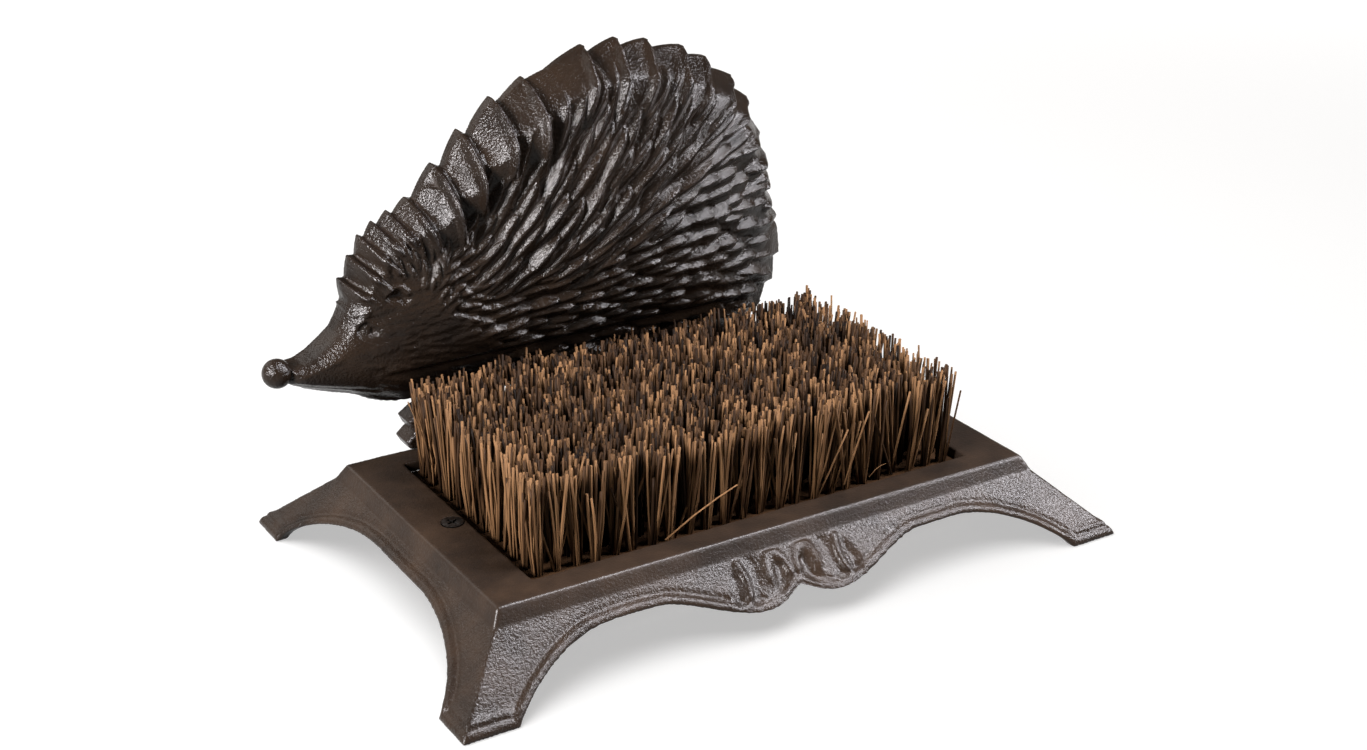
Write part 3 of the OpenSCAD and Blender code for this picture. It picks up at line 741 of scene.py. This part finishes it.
def hedgehog_fields(sizes):
    """The relief on a grid of points: outline, depth in front of the flat back, and hollow behind."""
    step = sizes.relief_step / MM
    x, z = np.meshgrid(np.arange(*GRID_X, step), np.arange(*GRID_Z, step), indexing="ij")
    rng = np.random.default_rng(11)
    outline = np.minimum(inside_of(x, z, saw_outline()), inside_of(x, z, FACE))
    for form in (BODY, HEAD):
        for less, part in ((6.0, True), (0.0, z < 66)):
            place, _, edge = share(x, z, form, less)
            outline = np.where(part, np.minimum(outline, (place - 1) * edge), outline)

    def depth_inside(px, pz):
        return -outline[int((px - GRID_X[0]) / step), int((pz - GRID_Z[0]) / step)]

    quills = flank_quills(rng, depth_inside, sizes) + outline_quills()
    leg_field = leg_outline(x, z)
    outline = np.maximum(np.minimum(outline, leg_field), STAND_TOP - z)
    skin = np.maximum(soft_max(dome(x, z, BODY, EDGE), dome(x, z, HEAD, EDGE), 5.0), 0.85 * EDGE)

    # The snout swells from the nose to the cheek
    u = ramp(x, -150, -100)
    across = (z - (79.4 + 4.5 * u)) / (6.0 + 19 * u ** 1.2)
    snout = 9.5 + (5.0 + 10.5 * u) * np.maximum(0, 1 - np.abs(across) ** 2.2) ** 0.6
    skin = soft_max(skin, skin + (snout - skin) * eased(ramp(x, -82, -108)), 3.0)

    # The quills rise out of the smooth face, which has fur
    heights = np.full(x.shape, -1.2)
    for quill in quills:
        quill.raise_on(heights, x, z)
    lift = ramp(inside_of(x, z, SMOOTH), -1, 4)
    slope = np.hypot(*np.gradient(skin, step))
    relief = heights * lift * np.clip(np.sqrt(1 + slope ** 2), 1, 1.7)
    fur = np.zeros(x.shape)
    for a, b in fur_strokes(rng):
        near = (np.abs(x - a[0]) < 13) & (np.abs(z - a[1]) < 13)
        fur[near] = np.maximum(fur[near], ridge_along(x[near], z[near], [a, b], 0.9, 1.0))
    relief += fur * (sizes.fur_height / MM) * (1 - lift) * ramp(x, -128, -112)

    # Quills and fur make room for the eye and the ear
    features = carving(x, z, FEATURES)
    features += 1.3 * np.sqrt(np.maximum(0, 1 - ((x + 115.8) ** 2 + (z - 95.4) ** 2) / 3.6))
    near_ear = np.exp(-(((x + 103) / 8) ** 2 + ((z - 109) / 6) ** 2) ** 2)
    near_eye = np.exp(-(((x + 115.5) / 6) ** 2 + ((z - 96.5) / 5) ** 2) ** 2)
    relief = relief * (1 - np.maximum(near_ear, near_eye)) + features

    # Legs, and room for the bristles in front of the lower body
    legs = np.where(leg_field < 0, 12.0, 0)
    for lx in LEGS:
        pad = (np.abs(x - lx - 3) < 9) & (z < STAND_TOP + 12)
        legs = np.where(pad, BACK_Y - (FIELD_HIGH.y + 1.0), legs)
    room = BACK_Y - (FIELD_HIGH.y + 1.6) + np.clip(z - (FIELD_HIGH.z + 3.0), 0, 100) * 2.0
    only_leg = (leg_field < 0) & (z < STAND_TOP + 17)
    front = np.where(only_leg, legs, np.minimum(skin + relief, room))

    # A rounded edge where the front turns into the wall, and a long bevel between the tips of the crest
    round_r = 1.0 + 4.5 * ramp(x, -106, -122)
    near_edge = np.clip(1 + outline / round_r, 0, 1)
    rounded = front - round_r * (1 - np.sqrt(np.maximum(0, 1 - near_edge ** 2)))
    near_tips = np.clip(1 + outline / (9.0 - 3.0 * ramp(x, -84, -94)), 0, 1) ** 1.5
    bevelled = front - (skin - 2.6) * near_tips + outline_ribs(x, z) * np.clip(-outline / 1.5, 0.1, 1)
    front = np.maximum(rounded + (bevelled - rounded) * ramp(z, 102, 112), 2.0)

    hollow = np.maximum(dome(x, z, BODY, 2.0, CASTING), dome(x, z, HEAD, 2.0, CASTING))
    for lx in LEGS:
        hollow = np.where((np.abs(x - lx) < 12) & (z < STAND_TOP + 36), 0, hollow)
    return x, z, outline, front, np.minimum(hollow, np.maximum(front - 3.0, 0))


def relief_solid(x, z, outline, front, hollow):
    """Closed skin over the inside of the outline: front, straight wall all round, and hollow back."""
    cells = (outline[:-1, :-1] + outline[1:, :-1] + outline[:-1, 1:] + outline[1:, 1:]) < 0
    # Cells that touch at a corner only are joined
    for _ in range(4):
        a, b, c, d = cells[:-1, :-1], cells[1:, :-1], cells[:-1, 1:], cells[1:, 1:]
        cells[1:, :-1] |= a & d & ~b & ~c
        cells[:-1, :-1] |= b & c & ~a & ~d
    used = np.zeros(x.shape, int)
    for di in (0, 1):
        for dj in (0, 1):
            used[di:di + cells.shape[0], dj:dj + cells.shape[1]] += cells
    full = used == 4
    full[0, :] = full[-1, :] = full[:, 0] = full[:, -1] = False
    rim = (used > 0) & ~full
    step = x[1, 0] - x[0, 0]
    gx, gz = np.gradient(outline, step)
    size = np.maximum(np.hypot(gx, gz), 0.3)
    shift = np.clip(outline / size, -0.75 * step, 0.75 * step)
    px = np.where(rim, x - shift * gx / size, x)
    pz = np.where(rim, z - shift * gz / size, z)

    keep = used > 0
    n = keep.sum()
    ids = np.full(x.shape, -1)
    ids[keep] = np.arange(n)
    front_points = np.stack([px[keep], BACK_Y - front[keep], pz[keep]], 1)
    behind = np.where(rim, 0, hollow)
    back_points = np.stack([px[keep], BACK_Y - behind[keep], pz[keep]], 1)
    i, j = np.nonzero(cells)
    quad = np.stack([ids[i, j], ids[i + 1, j], ids[i + 1, j + 1], ids[i, j + 1]], 1)
    faces = np.concatenate([quad, quad[:, ::-1] + n])

    # Edges that belong to one cell only, in the direction that the front faces give them
    sides = np.concatenate([quad[:, [k, (k + 1) % 4]] for k in range(4)])
    keys = np.sort(sides, 1)
    order = np.lexsort((keys[:, 1], keys[:, 0]))
    same = (keys[order][1:] == keys[order][:-1]).all(1)
    single = np.ones(len(sides), bool)
    single[order[1:][same]] = False
    single[order[:-1][same]] = False
    border = sides[single]
    rim_ids = np.unique(border)
    rank = np.full(n, -1)
    rank[rim_ids] = np.arange(len(rim_ids))
    levels = 7
    shares = np.arange(1, levels) / levels
    rings = [front_points[rim_ids] * (1 - t) + back_points[rim_ids] * t for t in shares]
    points = np.concatenate([front_points, back_points] + rings)

    def ring(ids_of, level):
        if level == 0:
            return ids_of
        if level == levels:
            return ids_of + n
        return 2 * n + (level - 1) * len(rim_ids) + rank[ids_of]

    a, b = border.T
    walls = [np.stack([ring(b, k), ring(a, k), ring(a, k + 1), ring(b, k + 1)], 1) for k in range(levels)]
    return points, np.concatenate([faces] + walls)


def tool(name, make, middle, **sizes):
    """A solid to join to a piece or to cut out of it, from one of bmesh's makers."""
    mesh = bpy.data.meshes.new(name)
    work = bmesh.new()
    make(work, matrix=Matrix.Translation(Vector(middle) * MM), **sizes)
    work.to_mesh(mesh)
    work.free()
    return loose_object(name + "_work", mesh)


def hedgehog_mesh(sizes):
    """The casting, with its ball of a nose and the holes for its bolts."""
    points, faces = relief_solid(*hedgehog_fields(sizes))
    piece = loose_object("hedgehog_work", mesh_of("hedgehog_relief", points, faces.tolist()))
    nose = tool("nose", bmesh.ops.create_icosphere, NOSE, subdivisions=5, radius=NOSE_RADIUS * MM)
    tools = [(nose, "UNION")]
    low, high = STAND_TOP - 5, BOLT_TOP + 1
    for x in BOLT_X:
        hole = tool(
            "hole", bmesh.ops.create_cone, (x, BOLT_Y, (low + high) / 2), cap_ends=True, segments=40,
            radius1=HOLE_RADIUS * MM, radius2=HOLE_RADIUS * MM, depth=(high - low) * MM)
        tools.append((hole, "DIFFERENCE"))
    for other, operation in tools:
        cut = piece.modifiers.new(operation.lower(), "BOOLEAN")
        cut.solver = "MANIFOLD"
        cut.operation = operation
        cut.object = other
    mesh = after_modifiers(piece)
    for other, _ in tools:
        bpy.data.objects.remove(other)
    set_points(mesh, neighbours_mean(mesh, points_of(mesh), 1))
    # The figure's ridges take half the pale colour of wear and painted highlight
    mark_ridges(mesh, 0.45, 0.5)
    all_smooth(mesh)
    return mesh


# The brush

# Half the bristle field, strands added to each tuft of the last row, and short ones between the last two rows
FIELD_X, FIELD_Y = 102.5, 54.5
LAST_ROW_MORE = 8
FILLERS = 170

# Places along a strand and points round it
LEVELS = (0.0, 0.4, 0.75, 1.0)
SIDES = 4

# Strands that came loose: root, tip, radius and shade
LOOSE = (
    ((-43.0, -54.5, 31.5), (-12.6, -58.6, 49.4), 0.62, 0.95),
    ((44.0, -54.0, 33.0), (52.0, -58.0, 66.0), 0.45, 0.9),
    ((-98.0, 44.0, 40.0), (-105.9, 46.0, 66.7), 0.40, 0.9),
    ((-100.5, 38.0, 40.0), (-104.0, 46.0, 70.0), 0.35, 0.7),
    ((56.3, -54.5, 33.5), (63.0, -56.5, 38.8), 0.25, 0.9))

# The slice of wood under the tufts, with a lip over the block: height, half length and half width
SLICE = (
    (FIELD_LOW.z, 102.45, 57.0), (WOOD_TOP + 0.05, 102.45, 57.0), (WOOD_TOP + 0.05, 103.3, 57.0),
    (WOOD_TOP + 0.6, 103.3, 57.0), (WOOD_TOP + 0.9, 103.0, 56.7))


def all_strands(sizes):
    """A row for every strand: root, tip, sag, radius, turn, shade, and 1 if it stands inside the field."""
    rng = np.random.default_rng(5)
    rows = []

    def add(root, tip, sag, radius, shade, inner):
        rows.append((*root, *tip, *sag, radius, rng.uniform(0, math.pi), shade, inner))

    nx, ny = sizes.tufts_along, sizes.tufts_across
    margin, long = sizes.tuft_margin / MM, sizes.strand_length / MM
    thin = sizes.strand_thickness / 2 / MM
    pitch_x, pitch_y = 2 * (FIELD_X - margin) / (nx - 1), 2 * (FIELD_Y - margin) / (ny - 1)
    foot = WOOD_TOP - 1.0
    for i in range(nx):
        for j in range(ny):
            x = -FIELD_X + margin + i * pitch_x + rng.uniform(-0.8, 0.8)
            y = -FIELD_Y + margin + j * pitch_y + rng.uniform(-0.8, 0.8)
            lean = np.array([0.008 * x + rng.normal(0, 2.0), 0.014 * y + rng.normal(0, 1.4), 0])
            tone = rng.normal(0, 0.13)
            inner = float(0 < i < nx - 1 and j > 0)
            top = WOOD_TOP + long + rng.normal(0, 0.7)
            for _ in range(sizes.strands_in_tuft + (LAST_ROW_MORE if j == ny - 1 else 0)):
                angle, away = rng.uniform(0, 2 * math.pi), math.sqrt(rng.uniform(0, 1))
                out = np.array([math.cos(angle), math.sin(angle), 0]) * away
                root = np.array([x, y, foot]) + out * 1.6
                stray = rng.uniform() < 0.10
                tip = root + lean + out * rng.uniform(0.8, 3.6)
                tip += rng.normal(0, 4.0 if stray else 1.2, 3) * (1.0 if inner else 1.9, 1, 0)
                tip[2] = top + rng.normal(0, 1.5) - (rng.uniform(2, 12) if rng.uniform() < 0.3 else 0)
                tip[0] = np.clip(tip[0], 1.5 - FIELD_X, FIELD_X - 1.5)
                tip[1] = np.clip(tip[1], -FIELD_Y - 2.0, FIELD_Y + 1.0)
                sag = (rng.normal(0, 0.5), rng.normal(0, 0.5), 0)
                # A random tone for every strand, with 0.20 more on the field's outer rows: painted light
                # where the lamps reach the sides of the field
                shade = np.clip(rng.beta(1.2, 1.2) + tone + 0.20 * (1 - inner), 0, 1)
                add(root, tip, sag, thin * rng.uniform(0.72, 1.22), shade, inner)

    # Shorter strands between the last two rows close the view under the figure
    for _ in range(FILLERS):
        x = rng.uniform(margin - FIELD_X, FIELD_X - margin)
        root = np.array([x, FIELD_Y - margin - 0.5 * pitch_y, foot])
        tip = root + (rng.normal(0, 1.5), rng.uniform(-0.5, 2.0), long + 1.0 - rng.uniform(2, 7))
        add(root, tip, (0, 0, 0), thin, rng.uniform(0, 0.5), 1.0)
    for root, tip, radius, shade in LOOSE:
        add(root, tip, (0, 0, 1.2), radius, shade, 0.0)
    return np.array(rows, float)


def tube_faces(rings):
    """Faces of a closed tube of rings of points: its sides, its top and its foot."""
    k = np.arange(SIDES)
    side = np.stack([k, np.roll(k, -1), np.roll(k, -1) + SIDES, k + SIDES], 1)
    sides = [side + level * SIDES for level in range(rings - 1)]
    return np.concatenate(sides + [[k + (rings - 1) * SIDES], [k[::-1]]])


def bristle_mesh(sizes):
    """Tufts of fibre that fan out of their holes, with a few loose strands, on a thin slice of wood."""
    rows = all_strands(sizes)
    root, tip, sag = (rows[:, None, None, k:k + 3] for k in (0, 3, 6))
    radius, turn, shade, inner = rows[:, 9:].T
    t = np.array(LEVELS)[:, None, None]
    angle = turn[:, None, None] + 2 * math.pi * np.arange(SIDES) / SIDES
    ring = np.stack([np.cos(angle), np.sin(angle), 0 * angle], -1) * radius[:, None, None, None]
    strands = root + (tip - root) * t + sag * np.sin(math.pi * t) + ring * (1.0 - 0.10 * t)
    wood = [(x, y, z) for z, hx, hy in SLICE for x, y in ((-hx, -hy), (hx, -hy), (hx, hy), (-hx, hy))]
    points = np.concatenate([strands.reshape(-1, 3), wood])

    # The cut tops of the strands and the slice are flat
    each, first = len(LEVELS) * SIDES, len(points) - len(wood)
    strand, slice_faces = tube_faces(len(LEVELS)), tube_faces(len(SLICE)) + first
    faces = (strand + each * np.arange(len(rows))[:, None, None]).reshape(-1, SIDES)
    smooth = np.ones((len(rows), len(strand)), bool)
    smooth[:, -2] = False
    smooth = np.append(smooth, np.zeros(len(slice_faces), bool))
    mesh = mesh_of("bristle_field", points, np.concatenate([faces, slice_faces]).tolist())
    # The slice of wood is marked as a mid-brown strand at its very root, so it takes the fibre's finish with
    # the painted shade of the roots
    for name, values, of_wood in (
            ("strand", np.repeat(shade, each), 0.5), ("inner", np.repeat(inner, each), 0.0),
            ("rise", np.tile(np.repeat(LEVELS, SIDES), len(rows)), 0.0)):
        mark(mesh, name, np.append(values, np.full(len(wood), of_wood)))
    mesh.polygons.foreach_set("use_smooth", smooth)
    mesh.update()
    return mesh


# Settings that a user would change

def length_property(name, description, default):
    return bpy.props.FloatProperty(name=name, description=description, default=default, unit="LENGTH")


class StandSizes(bpy.types.PropertyGroup):
    """Sizes of the cast stand's skin."""

    stand_step: length_property("Skin step", "Spacing of the points of the stand's skin", 0.00055)
    edge_rounds: bpy.props.IntProperty(
        name="Edge rounding", description="How often the edges are smoothed", default=10, min=0, max=20)
    carving: bpy.props.FloatProperty(
        name="Carving", description="Share of the full height of the scrolls", default=0.9, subtype="FACTOR")
    bead: length_property("Edge roll", "Height of the roll along the lower edge", 0.0005)
    cast_wave: length_property("Unevenness", "Height of the casting's waves", 0.00012)


class HedgehogSizes(bpy.types.PropertyGroup):
    """Sizes of the hedgehog's relief."""

    relief_step: length_property("Relief step", "Spacing of the points of the relief", 0.0006)
    quill_length: length_property("Quill length", "Length of a quill on the back", 0.031)
    quill_width: length_property("Quill width", "Width of a quill on the back", 0.0066)
    quill_height: length_property("Quill height", "Height of a quill's tip above the skin", 0.0043)
    fur_height: length_property("Fur height", "Height of the fur on the cheek", 0.0005)


class BrushSizes(bpy.types.PropertyGroup):
    """Sizes of the bristles."""

    tufts_along: bpy.props.IntProperty(
        name="Tufts along", description="Tufts along the brush", default=24, min=4)
    tufts_across: bpy.props.IntProperty(
        name="Tufts across", description="Tufts across the brush", default=13, min=4)
    strands_in_tuft: bpy.props.IntProperty(
        name="Strands in a tuft", description="Strands that share a hole", default=15, min=3)
    tuft_margin: length_property("Margin", "From the edge of the wood to the first tuft", 0.0045)
    strand_length: length_property("Strand length", "Length of the strands above the wood", 0.0425)
    strand_thickness: length_property("Strand thickness", "Thickness of a strand", 0.0012)


def colour_property(name, description, default):
    return bpy.props.FloatVectorProperty(
        name=name, description=description, default=default, subtype="COLOR", size=3, min=0, max=1)


class Colours(bpy.types.PropertyGroup):
    """Colours of every finish."""

    iron_black: colour_property("Iron", "Lacquered iron at its darkest", (0.0046, 0.0034, 0.0027))
    iron_brown: colour_property("Brown iron", "Browner clouds in the lacquer", (0.0150, 0.0090, 0.0054))
    iron_hollow: colour_property("Hollows", "Rusty brown in the hollows", (0.0150, 0.0085, 0.0048))
    # Pale colour of ridges and edges: rubbed metal and a painted highlight
    iron_worn_and_sheen: colour_property("Worn iron", "Rubbed ridges and edges", (0.060, 0.058, 0.062))
    fibre_light: colour_property("Light fibre", "Golden strands", (0.088, 0.047, 0.0215))
    fibre_brown: colour_property("Brown fibre", "Brown strands", (0.0205, 0.0104, 0.0048))
    fibre_dark: colour_property("Dark fibre", "Nearly black strands", (0.0042, 0.0026, 0.0018))
    # Painted shade between the strands and near the wood
    fibre_shade: colour_property("Fibre root", "Dusty shade near the wood", (0.004, 0.0026, 0.0018))
    wood_light: colour_property("Light wood", "Light grain of the block", (0.08, 0.042, 0.020))
    wood_dark: colour_property("Dark wood", "Dark grain of the block", (0.037, 0.019, 0.009))
    steel_dark: colour_property("Dark steel", "Blackened steel", (0.010, 0.0088, 0.0080))
    steel_light: colour_property("Light steel", "Rubbed steel", (0.040, 0.037, 0.034))
    floor: colour_property("Floor", "Pale studio floor", (0.60, 0.60, 0.60))


class BootBrushSettings(bpy.types.PropertyGroup):
    """All settings of the boot brush."""

    stand: bpy.props.PointerProperty(type=StandSizes, name="Stand", description="Sizes of the stand")
    hedgehog: bpy.props.PointerProperty(
        type=HedgehogSizes, name="Hedgehog", description="Sizes of the hedgehog")
    brush: bpy.props.PointerProperty(type=BrushSizes, name="Brush", description="Sizes of the brush")
    colours: bpy.props.PointerProperty(type=Colours, name="Colours", description="Colours of the finishes")


# Operators, one for each piece or group of like pieces

class MakeStand(bpy.types.Operator):
    """Build the cast stand"""

    bl_idname = "boot_brush.make_stand"
    bl_label = "Stand"

    def execute(self, context):
        settings = context.scene.boot_brush
        finish = iron_finish(
            "stand_iron", settings.colours, shade=1.0, grain_step=0.0012, grain_depth=0.00044, rough=0.29)
        new_piece("stand", stand_mesh(settings.stand), "base_frame", finish)
        return {"FINISHED"}


class MakeHedgehog(bpy.types.Operator):
    """Build the cast hedgehog"""

    bl_idname = "boot_brush.make_hedgehog"
    bl_label = "Hedgehog"

    def execute(self, context):
        settings = context.scene.boot_brush
        # The figure's iron is the stand's iron with its colours at 0.62, a darker copy: painted shade
        finish = iron_finish(
            "figure_iron", settings.colours, shade=0.62, grain_step=0.0012, grain_depth=0.00052, rough=0.22)
        new_piece("hedgehog_casting", hedgehog_mesh(settings.hedgehog), "hedgehog", finish)
        return {"FINISHED"}


class MakeBrush(bpy.types.Operator):
    """Build the tufts of fibre and finish the wooden block under them"""

    bl_idname = "boot_brush.make_brush"
    bl_label = "Brush"

    def execute(self, context):
        settings = context.scene.boot_brush
        finish = fibre_finish("fibre", settings.colours)
        new_piece("bristle_tufts", bristle_mesh(settings.brush), "bristles", finish)
        dress(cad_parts["brush_block"].data, wood_finish("brush_wood", settings.colours))
        return {"FINISHED"}


class MakeFasteners(bpy.types.Operator):
    """Finish the screws, bolts and washers"""

    bl_idname = "boot_brush.make_fasteners"
    bl_label = "Screws and bolts"

    def execute(self, context):
        finish = steel_finish("blackened_steel", context.scene.boot_brush.colours)
        for node in ("brush_screw_left", "brush_screw_right", "front_paw_bolt", "rear_paw_bolt",
                     "front_paw_washer", "rear_paw_washer"):
            dress(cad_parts[node].data, finish)
        return {"FINISHED"}


# Floor and backdrop, in millimetres
FLOOR_HALF = 4000
WALL_RADIUS, WALL_HEIGHT, WALL_SIDES = 3900, 5000, 96

# Lamps on the object: name, place, size, power and colour; all face the middle of the object
MIDDLE = (0, 0, 0.08)
COOL = (0.97, 0.95, 1.0)
LAMPS = (
    ("left_side", (-1.78, -0.22, 0.95), (0.6, 0.6), 205, (1.0, 0.96, 0.97)),
    ("right_high", (0.75, -0.35, 1.90), (0.6, 0.6), 125, COOL),
    ("right_low", (1.60, -0.90, 1.10), (0.6, 0.6), 110, COOL),
    ("back_left", (-0.75, 1.60, 1.05), (1.2, 1.0), 9, (1.0, 0.97, 0.94)))

# The lamp on the floor, and the light from all round
CEILING = ("ceiling", (-0.6, 0.4, 1.8), (2.4, 2.4), 55, WHITE)
SKY_COLOUR = (1.0, 0.87, 0.76)
SKY_STRENGTH = 0.12

# The photograph's camera: its direction, its distance and aim in metres, its sensor and lens in millimetres
AZIMUTH, ELEVATION, ROLL = (math.radians(angle) for angle in (-31.9, 23.68, 0.35))
DISTANCE = 0.88837
AIM = Vector((0.01362, 0.02408, 0.06))
SENSOR = 36
FOCAL = SENSOR * 2058 / 1367


def area_light(name, place, size, power, colour, receivers):
    """A soft box that faces the object and lights only its receivers."""
    light = bpy.data.lights.new(name, "AREA")
    light.shape = "RECTANGLE"
    light.size, light.size_y = size
    light.energy = power
    light.color = colour
    lamp = loose_object(name, light)
    lamp.location = place
    lamp.rotation_euler = (Vector(MIDDLE) - Vector(place)).to_track_quat("-Z", "Y").to_euler()
    lamp.light_linking.receiver_collection = receivers


class MakeStage(bpy.types.Operator):
    """Lay the floor and set up lights and camera"""

    bl_idname = "boot_brush.make_stage"
    bl_label = "Stage"

    def execute(self, context):
        scene = context.scene
        near, far = -FLOOR_HALF, FLOOR_HALF
        corners = [(near, near, 0), (far, near, 0), (far, far, 0), (near, far, 0)]
        floor = loose_object("floor", mesh_of("floor", corners, [(0, 1, 2, 3)]))
        angles = np.arange(WALL_SIDES) * 2 * math.pi / WALL_SIDES
        around = [(WALL_RADIUS * math.cos(a), WALL_RADIUS * math.sin(a)) for a in angles]
        wall = [(x, y, z) for z in (0, WALL_HEIGHT) for x, y in around]
        k = np.arange(WALL_SIDES)
        after = (k + 1) % WALL_SIDES
        panels = np.stack([k, after, after + WALL_SIDES, k + WALL_SIDES], 1).tolist()
        backdrop = loose_object("backdrop", mesh_of("backdrop", wall, panels))
        # The backdrop is only looked at: it neither lights the object nor shades it
        backdrop.visible_diffuse = backdrop.visible_glossy = False
        backdrop.visible_transmission = backdrop.visible_shadow = False
        paper, others = bpy.data.collections.new("paper"), bpy.data.collections.new("all_but_paper")
        paper.objects.link(floor)
        for place, sheet in enumerate((floor, backdrop)):
            dress(sheet.data, paper_finish(sheet.name, scene.boot_brush.colours))
            others.objects.link(sheet)
            others.collection_objects[place].light_linking.link_state = "EXCLUDE"

        world = bpy.data.worlds.new("studio")
        world.use_nodes = True
        sky = world.node_tree.nodes["Background"].inputs
        sky["Color"].default_value = lit(SKY_COLOUR)
        sky["Strength"].default_value = SKY_STRENGTH
        scene.world = world
        for lamp in LAMPS:
            area_light(*lamp, others)
        area_light(*CEILING, paper)
        scene.view_settings.view_transform = "Standard"

        level = math.cos(ELEVATION)
        back = Vector((math.sin(AZIMUTH) * level, -math.cos(AZIMUTH) * level, math.sin(ELEVATION)))
        right = Vector((math.cos(AZIMUTH), math.sin(AZIMUTH), 0))
        up = back.cross(right)
        side = right * math.cos(ROLL) + up * math.sin(ROLL)
        top = up * math.cos(ROLL) - right * math.sin(ROLL)
        lens = bpy.data.cameras.new("photo_view")
        lens.sensor_width = SENSOR
        lens.lens = FOCAL
        lens.clip_start, lens.clip_end = 0.01, 50
        camera = loose_object("photo_view", lens)
        turned = Matrix((side, top, back)).transposed().to_4x4()
        camera.matrix_world = Matrix.Translation(AIM + back * DISTANCE) @ turned
        scene.camera = camera
        return {"FINISHED"}


MAKERS = (MakeStage, MakeStand, MakeHedgehog, MakeBrush, MakeFasteners)


class BootBrushPanel(bpy.types.Panel):
    """Buttons and settings of the boot brush"""

    bl_idname = "VIEW3D_PT_boot_brush"
    bl_label = "Boot brush"
    bl_space_type = "VIEW_3D"
    bl_region_type = "UI"
    bl_category = "Boot brush"

    def draw(self, context):
        settings = context.scene.boot_brush
        for maker in MAKERS:
            self.layout.operator(maker.bl_idname)
        for group in (settings.stand, settings.hedgehog, settings.brush, settings.colours):
            box = self.layout.box()
            for key in group.bl_rna.properties.keys():
                if key not in ("rna_type", "name"):
                    box.prop(group, key)


CLASSES = (StandSizes, HedgehogSizes, BrushSizes, Colours, BootBrushSettings) + MAKERS + (BootBrushPanel,)


def register():
    for kind in CLASSES:
        bpy.utils.register_class(kind)
    bpy.types.Scene.boot_brush = bpy.props.PointerProperty(type=BootBrushSettings)


def unregister():
    del bpy.types.Scene.boot_brush
    for kind in reversed(CLASSES):
        bpy.utils.unregister_class(kind)


def main():
    register()
    bpy.ops.boot_brush.make_stage()
    bpy.ops.boot_brush.make_stand()
    bpy.ops.boot_brush.make_hedgehog()
    bpy.ops.boot_brush.make_brush()
    bpy.ops.boot_brush.make_fasteners()


if __name__ == "__main__":
    main()
